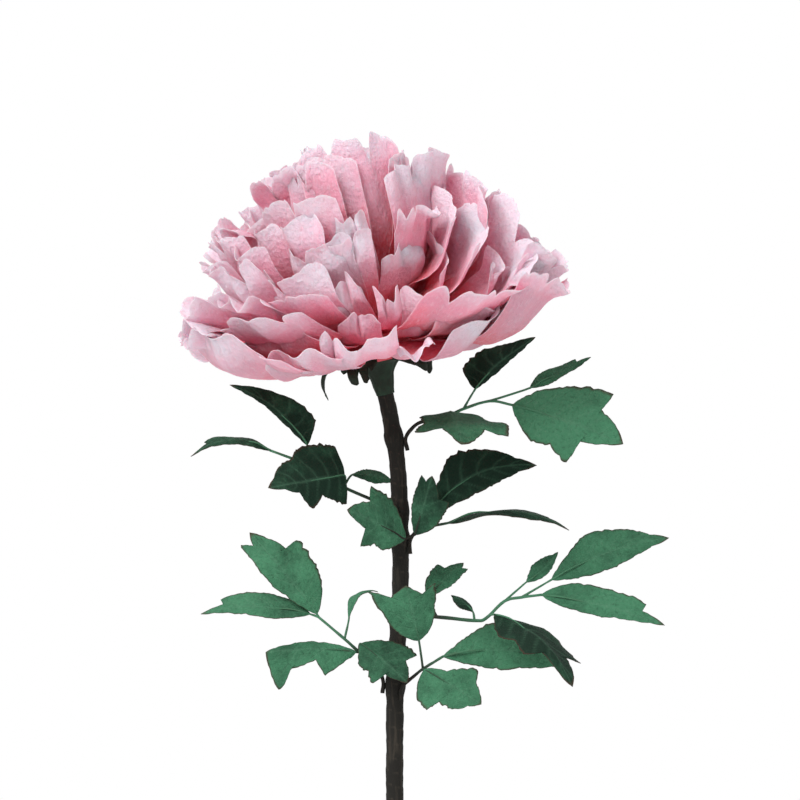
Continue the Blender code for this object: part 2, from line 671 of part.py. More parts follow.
def make_spray(spray, leaf_material):
    """A wired spray: a stalk that leaves the pole, a twig to each leaf, and the leaves on them."""
    name, drop, bearing, stalk_points, leaflets = spray
    axis, root = spray_root(drop, bearing)
    forks = [axis + Vector(point) * MM for point in stalk_points]
    path = [*root, *forks]
    radii = [mix((STALK_DIAMETER, TWIG_DIAMETER), i / (len(path) - 1)) / 2 for i in range(len(path))]
    helpers = bpy.data.collections.new(name + "_pieces")
    bpy.context.scene.collection.children.link(helpers)
    stalk = tube(name, path, radii, STALK_SIDES, leaf_material)
    for number, (outline, fork, base, tip, face, breadth, bend, arch) in enumerate(leaflets):
        base, tip, face = axis + Vector(base) * MM, axis + Vector(tip) * MM, Vector(face)
        leaflet = (outline, fork, base, tip, face, breadth, bend, arch)
        blade = make_leaf_blade(f"{name}_blade_{number + 1}", leaflet, leaf_material)
        ribs = [leaf_point(leaflet, share, 0.0) for share in (0.0, TWIG_IN_LEAF)]
        points = [forks[fork], *ribs]
        if (forks[fork] - base).length < TWIG_DIAMETER:
            points = ribs
        twig = tube(
            f"{name}_twig_{number + 1}",
            points,
            [TWIG_DIAMETER / 2 * (1 - TWIG_TAPER * i / len(points)) for i in range(len(points))],
            TWIG_SIDES,
            leaf_material,
        )
        hide_helper(twig)
        for helper in (blade, twig):
            bpy.context.scene.collection.objects.unlink(helper)
            helpers.objects.link(helper)
    join = stalk.modifiers.new("leaves and twigs", "BOOLEAN")
    join.operation = "UNION"
    join.solver = "EXACT"
    join.operand_type = "COLLECTION"
    join.collection = helpers
    return stalk


def main():
    """Build the whole flower."""
    clear_scene()
    petal_paper = paper_material("petal_crepe", PETAL_PINK)
    leaf_paper = paper_material("leaf_paper", LEAF_GREEN, 0.75)
    calyx_paper = paper_material("calyx_paper", CALYX_GREEN)
    bark = paper_material("pole_tape", BARK_BROWN, 0.85)
    core = paper_material("core_paper", CORE_PINK)
    make_pole(bark)
    make_core(core)
    make_collar(calyx_paper)
    make_petals(petal_paper)
    make_sepals(calyx_paper)
    for spray in SPRAYS:
        make_spray(spray, leaf_paper)


main()
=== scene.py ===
"""Crepe paper peony: crinkled petals, veined leaves and a taped pole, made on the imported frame.

The flower head is a nest of paper sheets round a core. Every petal is placed by its distance from the
head's centre, its tilt from the head's axis and its bearing round it, so that each lies inside the last.
Lengths are in metres, and the angles of the tables are in degrees.
"""

import random
from math import atan2, copysign, cos, degrees, pi, radians, sin, sqrt, tau

import bmesh
import bpy
from bpy.props import FloatProperty, FloatVectorProperty, PointerProperty
from mathutils import Matrix, Vector, noise


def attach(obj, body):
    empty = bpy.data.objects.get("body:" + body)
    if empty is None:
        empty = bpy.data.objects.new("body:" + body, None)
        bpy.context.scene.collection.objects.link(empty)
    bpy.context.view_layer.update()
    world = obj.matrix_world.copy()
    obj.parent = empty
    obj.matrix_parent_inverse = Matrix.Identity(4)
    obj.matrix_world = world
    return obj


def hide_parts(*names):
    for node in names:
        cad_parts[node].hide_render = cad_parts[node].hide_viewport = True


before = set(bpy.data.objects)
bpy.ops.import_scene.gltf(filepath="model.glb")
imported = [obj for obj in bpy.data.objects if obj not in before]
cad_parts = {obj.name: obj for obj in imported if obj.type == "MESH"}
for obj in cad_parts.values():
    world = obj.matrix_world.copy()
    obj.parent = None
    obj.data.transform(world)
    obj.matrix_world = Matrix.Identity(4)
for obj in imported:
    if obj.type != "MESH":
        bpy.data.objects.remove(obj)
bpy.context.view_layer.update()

bl_info = {
    "name": "Crepe Paper Peony",
    "version": (1, 0, 0),
    "blender": (4, 5, 0),
    "location": "View3D > Sidebar > Peony",
    "description": "Builds a crepe paper peony with wired leaf sprays on a taped pole",
    "category": "Add Mesh",
}

MM = 0.001

# Head
POLE_LENGTH = 1.000
HEAD_CENTRE = Vector((-15 * MM, -5 * MM, POLE_LENGTH))
CORE_RADIUS = 28 * MM
SEAT_GAP = 0.3 * MM
UP = Vector((0, 0, 1))
MERGE_DISTANCE = 0.01 * MM

# Petals: how many there are and how finely each sheet is divided. Narrow sheets have fewer columns, but
# never less than the share given last.
PETAL_COUNT = 43
PETAL_COLUMNS = 60
PETAL_ROWS = 46
FEWEST_COLUMNS = 0.6
# Seeds of the petals' own traits, and of the sheets beside their main ones.
PETAL_SEEDS = (11000, 500)
GOLDEN_ANGLE = 180 * (3 - sqrt(5))
FIRST_PETAL_BEARING = 200
# Traits that change with a petal's age, from the lowest outer petal to the topmost inner one: angles
# from the head's axis at the seat, the middle and the tip, widths, and bends. The last pair is the
# stray of hand work.
AGEING = {
    "seat": (94, 13),
    "open": (94, 16),
    "tip": (83, 9),
    "width": (106 * MM, 80 * MM),
    "seat_width": (17 * MM, 9 * MM),
    "cup": (7.0, 1.5),
    "roll": (2.0, 0.4),
    "wave": (1.2, 0.3),
}
STRAY_ANGLES = (1.0, 0.3)
# Petals in this span of ages are three sheets, and the rest are two.
THREE_SHEET_AGES = (0.14, 0.8)
# Spans of the random draws. Reach and width are shares of their usual value.
REACH_SPREAD = (0.95, 1.03)
WIDTH_SPREAD = (0.88, 1.06)
HAND_WORK = {
    "seed": (0, 90),
    "ruffle": (0.6, 2.0),
    "ruffles": (1.2, 2.8),
    "reflex": (-4.0, 5.0),
    "sweep": (-5, 5),
    "crease": (-1.5, 3.0),
    "crease_at": (-0.4, 0.4),
}
FLATNESS = (0.2, 0.65)
TONE_SPREAD = (-0.07, 0.07)
# The rim: notches at some of the places across, cut corners, and lobes with shallow cuts between them.
LOBE_PLACES = (-0.667, -0.333, 0.0, 0.333, 0.667)
NOTCH_COUNTS = (1, 2, 2)
NOTCH_DEPTHS = (0.052, 0.143)
NOTCH_REACH = 0.16
NOTCH_POWER = 1.4
CORNER_CUT = 0.21
CORNER_SHARPNESS = 4
LOBE_WIDTHS = (7 * MM, 19 * MM)
LOBE_DEPTHS = (1.0 * MM, 3.6 * MM)
LOBE_POWERS = (1.3, 2.6, 3.4, 4.2)
RIM_SWAY = 0.02
RIM_SWAYS = 2.7
RIM_SLICE = 0.3
# Shares of the way out over which each bend of a sheet comes in.
OPENING = (0.0, 0.6)
CURLING = (0.45, 1.05)
CUPPING = (0.0, 0.8)
REFLEXING = (0.76, 1.0)
CREASING = (0.1, 0.7)
TWISTING = (0.05, 0.7)
CRUMPLING = (0.02, 0.35)
WIDEST_AT = 0.72
FLARE_POWER = 1.1
WAVES_ACROSS = 1.1
CURL_POWER = 1.5
CURL_SWING = 0.8
CURL_WAVES = 2.7
CURL_DROP = 0.55 * MM
# A sheet twisted by this many degrees or more is flat across.
FLAT_TWIST = 25
HALF_TURN_CAP = 62
STEEPEST_MIDDLE = 8
STEEPEST_EDGE = 2
# Layers of crumple: spacing across and along, shift of the noise, weight, and whether it has sharp folds.
CRUMPLE_LAYERS = (
    (30 * MM, 42 * MM, 0.0, 1.6, False),
    (17 * MM, 26 * MM, 7.3, 2.0, True),
    (4.2 * MM, 5.5 * MM, 3.1, 0.55, True),
)
FOLD_MEAN = 0.3
# How the sheets of one petal differ: the main one is narrowed and rolled, and those beside it are set
# off by a share of its half turn, opened, and shortened and narrowed to shares of it.
MAIN_WIDTH = (0.66, 0.8)
MAIN_ROLL = (1, 5)
MAIN_STEP = 0.25
SIDE_STEP = (0.45, 0.8)
SIDE_TILTS = {"open": (1, 5), "tip": (1, 8)}
SIDE_SHARES = {"reach": (0.82, 0.99), "width": (0.6, 0.85)}
SIDE_ROLL = (-2, 8)
SIDE_NOTCHES = (0.039, 0.182)
STEP_CAPS = (40, 50)
TUCKED_CUP = 1.5
TUCKED_NOTCHES = (0.039, 0.13)
# Under the big front petals the head is parted, so that the red inside shows.
PARTING_BEARING = 276
PARTING_TURN = 18
PARTING_HALF_WIDTH = 60
PARTING_TILTS = (25, 50, 68, 76)
# Share of a change of the tip's tilt that the middle of the petal takes too.
OPEN_SHARE = 0.6


def sheet_at(bearing, tip, width, reach=None, **more):
    """A row of the petal tables: one sheet in the terms of petal_traits, with its width and reach in
    shares of the head's radius."""
    row = {"bearing": bearing, "tip": tip, "width": width, "sheets": 1, **more}
    if reach:
        row["reach"] = reach
    return row


# Petals with a place of their own in the head, or with a size or number of sheets of their own.
PLACED = {
    1: sheet_at(213, 82, 0.72, reflex=-5, cup=2, roll=2),
    # Petal 2's tone of -0.1 is painted shade: it darkens the petal towards red, where the head's lower
    # right lies in shade.
    2: sheet_at(342, 79, 0.64, 1.04, open=99, sheets=2, cup=3, tone=-0.1),
    4: sheet_at(262, 86, 0.36, 0.88, cup=1, reflex=-3),
    6: {"reach": 0.93},
    7: sheet_at(317, 79, 0.68, 0.95, roll=4, widest=0.5),
    9: sheet_at(233, 75, 0.48, 0.93, twist=-6, widest=0.5),
    10: sheet_at(350, 80, 0.44, 1.03, sheets=2, twist=5),
    12: sheet_at(246, 60, 0.34, 0.85, cup=1, reflex=-3),
    14: sheet_at(204, 66, 0.38, 1.0, twist=-8, widest=0.5),
    15: sheet_at(344, 62, 0.6, 0.98, twist=50, tone=0.1),
    17: sheet_at(216, 60, 0.38, 0.96, twist=-8, widest=0.5),
    18: {"reach": 0.97, "sheets": 2, "twist": 18},
    20: sheet_at(333, 54, 0.46, 0.88, twist=42, tone=0.12),
    22: sheet_at(207, 47, 0.36, 0.98, cup=1),
    23: sheet_at(351, 46, 0.5, 0.95, twist=36),
    25: sheet_at(252, 50, 0.32, 0.8, reflex=-4, flat=0.8),
    27: {"reach": 0.97},
    28: sheet_at(316, 38, 0.3, 0.84, twist=14, flat=0.8),
    30: sheet_at(241, 32, 0.42, 0.92, flat=0.9, crease=0),
    31: {"reach": 0.99, "sheets": 2, "twist": -12},
    33: sheet_at(286, 16, 0.5, 1.05, flat=0.95, crease=0),
    38: sheet_at(228, 20, 0.5, 1.02, flat=0.8),
    39: {"reach": 0.92},
}
# Small sheets tucked in beside a petal.
TUCKED = {
    1: (sheet_at(240, 87, 0.42, 0.84, reflex=-2),),
    2: (sheet_at(324, 86, 0.6, 0.8, open=102, reflex=-4),),
    4: (sheet_at(285, 89, 0.17, 0.78, reflex=4),),
    7: (
        sheet_at(338, 76, 0.34, 0.98, reflex=-2),
        sheet_at(302, 79, 0.36, 0.76, reflex=-4, roll=4),
        sheet_at(324, 84, 0.64, 0.78, reflex=-3, tone=-0.25),
    ),
    9: (
        sheet_at(204, 74, 0.32, 0.99, reflex=1, twist=-8, widest=0.5),
        sheet_at(262, 79, 0.2, 0.7, reflex=-4),
        sheet_at(228, 81, 0.64, 0.76, reflex=-3, tone=-0.35),
    ),
    12: (sheet_at(281, 74, 0.12, 0.76, reflex=-5),),
    14: (sheet_at(200, 70, 0.34, 1.0, twist=-8, widest=0.5),),
    15: (
        sheet_at(325, 74, 0.14, 0.84, twist=58, reflex=-4, sweep=3),
        sheet_at(344, 74, 0.22, 0.94, twist=20),
    ),
    17: (
        sheet_at(226, 66, 0.34, 0.94, twist=-8, widest=0.5),
        sheet_at(242, 67, 0.32, 0.87, twist=-4, widest=0.5),
        sheet_at(260, 66, 0.24, 0.72, reflex=-5),
    ),
    20: (sheet_at(326, 49, 0.4, 0.66, twist=46, reflex=-4, sweep=2),),
    22: (
        sheet_at(200, 55, 0.32, 0.95),
        sheet_at(218, 52, 0.3, 0.93),
    ),
    25: (
        sheet_at(263, 48, 0.26, 0.78, reflex=-5, flat=0.9),
        sheet_at(274, 38, 0.17, 0.8, reflex=-4, flat=0.9),
        sheet_at(236, 41, 0.4, 0.88, reflex=-3, flat=0.9, crease=0),
    ),
    28: (
        sheet_at(330, 44, 0.36, 0.86, twist=48, tone=0.1),
        sheet_at(322, 27, 0.3, 0.93, flat=0.9),
        sheet_at(303, 47, 0.28, 0.66, twist=10, reflex=-4),
    ),
    33: (sheet_at(258, 20, 0.36, 1.0, flat=0.8),),
}

# Leaves: the blade's grid, its fold along the midrib, its waves and its lift and nod out of its plane.
LEAF_COLUMNS = 22
LEAF_ROWS_PER_SPAN = 8
LEAF_FOLD = 0.22
LEAF_WAVES = 9
LEAF_WAVE_SHIFT = 2
LEAF_WAVE_RISE = 5
LEAF_BUCKLE = 0.03
LEAF_BUCKLES = (3, 6)
LEAF_NOD = 0.05
NODDING = (0.7, 1.0)
LEAF_SEEDS = (10, 1.7)
# The rim's bulge between two corners and its small teeth.
RIM_BULGE = 0.055
LEAF_RAGGED = 0.10
LEAF_TEETH = 34
# The ribs' number, slant, thinness and fading towards the rim.
MIDRIB_HALF_WIDTH = 0.9 * MM
RIB_COUNT = 7
RIB_SLANT = 0.16
RIB_THINNESS = 9
RIB_FADE = 0.4
RIB_START = 0.02
# Wear: how soon it comes in at the rim, how strong it is there, and its span and strength at both ends.
RIM_WEAR = (5, 0.85)
TIP_WEAR = ((0.84, 1.0), 0.8)
BASE_WEAR = ((0.97, 1.0), 0.2)
# Wires: diameters, smoothness, the shares of the leaf that a twig runs under, and the lumps of its tape.
STALK_DIAMETER = 3.2 * MM
TWIG_DIAMETER = 2.0 * MM
STALK_ROOT_LENGTH = 10 * MM
WIRE_STEPS = 5
WIRE_SIDES = 8
TWIG_END = (0.0, 0.2, 0.45)
TWIG_TAPER = 0.72
WIRE_GREENING = (20 * MM, 70 * MM)
WIRE_LUMP_SPACING = 4 * MM
WIRE_LUMP = 0.22 * MM

# Leaf outlines, as (along, out) in hundredths of the leaf's length. The first row is the left edge from
# the base to the tip, seen on the leaf's face, and the second row is the right edge.
LEAF_OUTLINES = {
    "three_lobed": (
        ((10, 12), (27, 25), (50, 36), (78, 37), (72, 20), (90, 11)),
        ((8, 10), (26, 24), (42, 22), (60, 31), (64, 11), (86, 6)),
    ),
    "forward_lobed": (
        ((12, 6), (33, 12), (56, 16), (78, 15), (96, 14), (88, 6)),
        ((6, 10), (22, 24), (42, 29), (66, 32), (66, 17), (84, 10)),
    ),
    "forked": (
        ((10, 8), (28, 16), (48, 16), (62, 15), (82, 12), (79, 5.5)),
        ((12, 5), (28, 8), (45, 8), (60, 6), (76, 4), (88, 2)),
    ),
    "blade": (
        ((8, 6), (20, 13), (38, 22), (60, 19), (78, 12), (86, 6)),
        ((10, 5), (24, 10), (42, 13), (58, 12), (70, 9), (84, 5)),
    ),
    "half": (
        ((4, 15), (10, 29), (30, 28), (54, 20), (76, 11), (90, 5)),
        ((10, 3), (25, 5), (42, 6), (58, 5), (72, 4), (87, 2)),
    ),
    "ivy": (
        ((1, 36), (20, 42), (52, 40), (62, 29), (76, 25), (90, 10)),
        ((4, 33), (20, 26), (33, 18), (48, 32), (62, 12), (80, 5)),
    ),
    "comb": (
        ((12, 10), (36, 26), (46, 12), (72, 18), (86, 40), (95, 18)),
        ((10, 3), (26, 6), (42, 7), (58, 7), (74, 5), (90, 3)),
    ),
    "fan": (
        ((8, 16), (28, 36), (55, 46), (100, 62), (84, 30), (93, 14)),
        ((8, 14), (30, 32), (55, 40), (90, 48), (78, 24), (90, 10)),
    ),
    "hand": (
        ((10, 8), (30, 14), (45, 30), (66, 42), (74, 24), (88, 14)),
        ((2, 22), (14, 40), (36, 48), (44, 30), (68, 28), (84, 12)),
    ),
}

# Sprays. Each is (name, distance of its root below the pole's top, bearing of the root round the pole,
# stalk points after the root, leaflets). A leaflet is (outline, stalk point that its twig leaves, base,
# tip, direction that its face looks, breadth, bend, arch, tone). Breadth stretches the outline across,
# and is negative for a mirrored one; bend bows the leaf sideways and arch bows it towards its face, both
# in shares of its length; tone is 0 for the darkest paper and 1 for the lightest. The lowest tones, given
# to the leaves that hang under the head, are painted shade that stands in for the head's shadow on them.
# Points are in millimetres from the pole's axis at the root.
SPRAYS = (
    (
        "upper_right", 0.071, 70,
        ((17, -6, 10), (28, -9, 14), (44, -11, 18), (53, -12, 22), (73, -13, 28), (90, -15, 25)),
        (
            ("three_lobed", 2, (42, -15, 19), (50, -84, -4), (0, -0.3, 1), 1.4, 0, 0.1, 0.62),
            ("half", 3, (62, -8, 37), (109, 12, 76), (-0.2, -1, 0.2), 1.05, 0.05, 0.03, 0.1),
            ("forked", 4, (104, -6, 38), (152, 12, 61), (0, -0.62, 0.8), 1, 0, 0.02, 0.55),
            ("three_lobed", 5, (90, -15, 25), (174, -26, -4), (0, -1, 0.35), 1.05, 0, 0.06, 1),
        ),
    ),
    (
        "middle_right", 0.150, 50,
        ((13, -8, 8), (22, -11, 11), (37, -12, 14)),
        (
            ("blade", 0, (23, -4, 20), (105, 12, 56), (-0.1, -1, 0.25), 1.15, 0.15, 0.04, 0.15),
            ("forked", 2, (37, -12, 14), (128, -22, 6), (0, -0.3, 1), 1, 0, 0.15, 0.12),
            ("three_lobed", 0, (4, -17, 2), (-40, -32, 25), (0.1, -1, 0.3), -1.3, 0, 0.06, 0.55),
            ("forward_lobed", 0, (11, -17, 5), (24, -22, 50), (0, -1, 0.1), 1.2, 0, 0.05, 0.3),
        ),
    ),
    (
        "upper_left", 0.128, -100,
        ((-19, 4, 8), (-43, 0, 19), (-71, 2, 36), (-99, -2, 47)),
        (
            ("ivy", 1, (-42, -6, 28), (-100, -30, 19), (0.1, -1, 0.2), -1.05, 0, 0.05, 0.08),
            ("half", 2, (-71, 1, 51), (-131, 8, 98), (0.2, -1, 0.2), -0.8, -0.08, 0.05, 0.15),
            ("forked", 3, (-99, -2, 47), (-159, -16, 45), (0, -0.55, 1), -1, 0, 0.17, 0.2),
            ("blade", 1, (-37, 9, 28), (-3, 26, 22), (0, -0.8, 0.6), 1, 0, 0.06, 0.5),
        ),
    ),
    (
        "lower_left", 0.257, -80,
        ((-16, -3, 14), (-28, -6, 22), (-39, -8, 32), (-59, -10, 49)),
        (
            ("forward_lobed", 3, (-60, -10, 51), (-111, -12, 114), (0.15, -1, 0.2), 1, 0, 0.04, 0.75),
            ("forked", 3, (-65, -9, 51), (-148, -20, 54), (0, -0.75, 0.65), -1.1, 0, 0.09, 0.7),
            ("comb", 1, (-30, -9, 22), (-99, -24, 23), (0, -1, 0.3), 1.05, -0.03, 0.06, 0.72),
            ("blade", 2, (-36, -1, 46), (-13, 16, 65), (-0.6, -0.5, 0.7), 0.9, 0, 0.35, 0.9),
            ("three_lobed", 1, (-27, -14, 29), (9, -30, 0), (0.2, -1, 0.4), 1.25, 0, 0.08, 0.45),
        ),
    ),
    (
        "lower_right", 0.209, 95,
        ((29, 4, 0), (58, 6, -3), (67, 6, -1), (81, 6, 12), (94, 5, 15), (109, 4, 17)),
        (
            ("blade", 4, (117, 10, 28), (209, 18, 61), (0, -1, 0.4), 0.95, 0.04, 0.04, 0.7),
            ("blade", 3, (98, 14, 26), (123, 19, 49), (0, -1, 0.3), 1.1, -0.05, 0.03, 0.6),
            ("forked", 5, (109, 4, 17), (203, -6, -7), (0, -1, 0.45), 1, 0.02, 0.05, 0.85),
            ("blade", 1, (57, 12, 3), (40, 24, 15), (0, -0.4, 1), 1.3, 0, 0.1, 0.1),
            ("three_lobed", 2, (72, -24, 4), (130, -76, -42), (0.5, -0.6, 0.8), 0.8, 0, 0.1, 0.12),
            ("forward_lobed", 0, (22, 11, 15), (50, 26, 41), (-0.2, -1, 0.4), -1.1, 0, 0.05, 0.5),
        ),
    ),
    (
        "front", 0.262, 30,
        ((14, -14, 9), (21, -18, 15), (36, -24, 25)),
        (
            ("fan", 1, (18, -24, 37), (8, -34, 80), (0, -1, 0.15), 1, 0, 0.08, 0.6),
            ("blade", 2, (36, -24, 25), (134, -6, 13), (0, -1, 0.5), 1.05, 0.09, 0.03, 0.75),
            ("hand", 1, (22, -22, 15), (65, -38, -10), (0, -1, 0.35), 1, 0, 0.06, 0.75),
        ),
    ),
)

# Pole: its grid, how far its axis strays to the right at a drop below the top, its swellings and its tape.
POLE_SIDES = 32
POLE_STEP = 2.2 * MM
POLE_SWAY = (
    (0.300, 0.0),
    (0.265, 0.4 * MM),
    (0.226, 2.6 * MM),
    (0.196, 4.1 * MM),
    (0.165, 4.6 * MM),
    (0.127, 3.8 * MM),
    (0.096, 2.4 * MM),
    (0.070, -0.6 * MM),
)
NECK_LENGTH = 42 * MM
KNOT_SWELL = 1.3 * MM
KNOT_HALF_LENGTH = 11 * MM
WRAP_SWAY = 0.35
WRAP_SWAY_SPACING = 50 * MM
# Lumps and creases of the tape: height, squeeze along the pole, and spacing.
TAPE_LUMPS = (0.5 * MM, 0.4, 8 * MM)
TAPE_CREASES = (0.25 * MM, 0.25, 2.5 * MM)

# Calyx: the collar's profile as (out, down) in shares of its flare and length, its pleats and the sepals.
CORE_FLOOR_ANGLE = 114
COLLAR_LENGTH = 27 * MM
COLLAR_PROFILE = ((1.0, 0.0), (0.52, 0.12), (0.24, 0.32), (0.08, 0.6), (0.0, 1.0))
COLLAR_WALL = 0.6 * MM
COLLAR_GAP = 0.5 * MM
COLLAR_INSET = 1.6 * MM
COLLAR_SIDES = 60
PLEAT_COUNT = 11
PLEAT_DEPTH = 0.5 * MM
COLLAR_LUMP = 0.8 * MM
COLLAR_LUMP_SPACING = 9 * MM
SEPAL_GRID = (32, 26)
SEPAL_COUNT = 5
SEPAL_BEARING = 26
SEPAL_REACH = 56 * MM
SEPAL_REACH_SPREAD = (0.9, 1.05)
SEPAL_STRAY = 3
SEPAL_TIP_ANGLE = 119
SEPAL_TRAITS = {
    "width": 36 * MM, "seat_width": 29 * MM, "seat": 104, "open": 110, "cup": 4, "wave": 1.5,
    "widest": WIDEST_AT, "twist": 0.0, "ruffle": 2.0, "reflex": 2.0, "tone": 0.0, "flat": 0.8,
    "sweep": 8.0, "point": 0.62, "sharpness": 1.5,
}
# Notches as (place across, depth). One sepal is frayed.
SEPAL_NOTCHES = ((-0.35, 0.104),)
FRAYED_SEPAL = 3
FRAYED_NOTCHES = ((0.0, 0.585), (-0.6, 0.26), (0.5, 0.325))

# Stage
CAMERA_AIM = Vector((4.1 * MM, 0, 957.8 * MM))
CAMERA_DISTANCE = 2.2
PICTURE_WIDTH = 0.614
# Each lamp is its place and the side of its square.
KEY_LAMP = (Vector((-1.3, -1.6, 2.5)), 1.4)
FILL_LAMP = (Vector((1.9, -1.6, 1.2)), 1.6)


def colour_property(name, description, default):
    """A colour that the user may change, in linear red, green and blue."""
    return FloatVectorProperty(
        name=name, description=description, default=default, subtype="COLOR", size=3, min=0, max=1
    )


def number_property(name, description, default, **kind):
    """A number that the user may change, with its unit or subtype."""
    return FloatProperty(name=name, description=description, default=default, **kind)


def length_property(name, description, default):
    """A length that the user may change, in metres."""
    return number_property(name, description, default, unit="LENGTH")


class PEONY_PG_head(bpy.types.PropertyGroup):
    """Sizes and colours of the flower head."""

    lean: number_property("Lean", "Tilt of the head to the left", radians(12), subtype="ANGLE")
    nod: number_property("Nod", "Tilt of the head to the front", radians(5), subtype="ANGLE")
    radius: length_property("Radius", "Reach of the petals from the centre", 0.158)
    paper: length_property("Paper", "Thickness of the petal paper", 0.0003)
    crumple: length_property("Crumple", "Height of the creases in the paper", 0.0011)
    glow: number_property("Glow", "Share of light that the thin paper lets through", 0.55, subtype="FACTOR")
    tip_colour: colour_property("Tip", "Paper at the petals' tips", (0.86, 0.61, 0.71))
    middle_colour: colour_property("Middle", "Paper at the petals' middles", (0.88, 0.34, 0.43))
    base_colour: colour_property("Base", "Paper at the petals' bases", (0.92, 0.17, 0.21))
    # Painted highlight: the petals' thin rims and tips are paled towards this colour, as if their edges
    # caught the light.
    rim_wear_and_highlight_colour: colour_property("Rim", "Paper at the petals' rims", (0.93, 0.74, 0.82))
    # Painted highlight: the ridges of the petals' lengthwise crinkles are paled towards this colour.
    streak_and_highlight_colour: colour_property("Streaks", "Rubbed streaks of the petals", (0.95, 0.80, 0.87))
    # Painted shade: the hollows of the petals' fine wrinkles are darkened towards this colour.
    crease_shade_colour: colour_property("Wrinkles", "Wrinkles of the petals", (0.66, 0.28, 0.36))
    core_colour: colour_property("Core", "Paper round the core", (0.66, 0.08, 0.10))


class PEONY_PG_leaves(bpy.types.PropertyGroup):
    """Sizes and colours of the leaf sprays and the calyx."""

    paper: length_property("Paper", "Thickness of the leaf paper", 0.0005)
    waviness: number_property(
        "Waviness", "Swing of the leaf edges, as a share of length", 0.022, subtype="FACTOR"
    )
    light_colour: colour_property("Light", "Lightest leaf paper", (0.050, 0.180, 0.095))
    # The darkest paper, which also serves as painted shade in the leaves' wrinkles and on the leaves under
    # the head.
    dark_paper_and_shade_colour: colour_property("Dark", "Darkest leaf paper", (0.005, 0.020, 0.011))
    # The veins' colour, which also serves as painted highlight on the ridges of the leaves' wrinkles.
    vein_and_highlight_colour: colour_property("Veins", "Leaf veins", (0.09, 0.21, 0.13))
    rim_wear_and_highlight_colour: colour_property("Rims", "Leaf rims and tips", (0.050, 0.030, 0.020))
    wire_colour: colour_property("Wires", "Tape round the wires, at the leaves", (0.052, 0.165, 0.090))
    calyx_colour: colour_property("Calyx", "Collar and sepals", (0.014, 0.022, 0.014))
    patch_colour: colour_property("Calyx patches", "Lighter patches of both", (0.022, 0.055, 0.032))


class PEONY_PG_pole(bpy.types.PropertyGroup):
    """Sizes and colours of the pole."""

    diameter: length_property("Diameter", "Diameter below the leaves", 0.0134)
    top_diameter: length_property("Top diameter", "Diameter under the head", 0.0126)
    tape_pitch: length_property("Tape pitch", "Rise of the tape in one turn", 0.011)
    tape_step: length_property("Tape step", "Height of the tape's lap", 0.00035)
    tape_colour: colour_property("Tape", "Paper tape", (0.011, 0.010, 0.008))
    worn_colour: colour_property("Worn tape", "Paper tape where it is rubbed", (0.036, 0.029, 0.022))
    streak_and_highlight_colour: colour_property("Streaks", "Lengthwise wrinkles of the tape", (0.060, 0.048, 0.036))


class PEONY_PG_stage(bpy.types.PropertyGroup):
    """Light and floor."""

    floor_size: length_property("Floor", "Side of the square floor", 8.0)
    floor_colour: colour_property("Floor colour", "Plain floor", (0.86, 0.86, 0.86))
    key_watts: number_property("Key", "Power of the main lamp", 67.0, unit="POWER")
    fill_watts: number_property("Fill", "Power of the fill lamp", 9.0, unit="POWER")
    sky: number_property("Sky", "Strength of the white surroundings", 0.76, subtype="FACTOR")


def mix(pair, share):
    """The value a share of the way from the first of a pair to the second."""
    return pair[0] + (pair[1] - pair[0]) * share


def ease(share, span=(0.0, 1.0)):
    """A smooth rise from 0 to 1 over a span."""
    share = min(1.0, max(0.0, (share - span[0]) / (span[1] - span[0])))
    return share * share * (3 - 2 * share)


def noise_at(*place):
    """Noise from -1 to 1 at a place."""
    return noise.noise(Vector(place))


def smooth_path(points, steps):
    """A Catmull-Rom curve through points, with steps short runs between each two."""
    padded = [points[0] * 2 - points[1], *points, points[-1] * 2 - points[-2]]
    path = []
    for before, start, end, after in zip(padded, padded[1:], padded[2:], padded[3:]):
        for step in range(steps):
            t = step / steps
            square = (2 * before - 5 * start + 4 * end - after) * t * t
            cube = (3 * start - before - 3 * end + after) * t**3
            path.append(0.5 * (2 * start + (end - before) * t + square + cube))
    path.append(points[-1])
    return path


# Materials


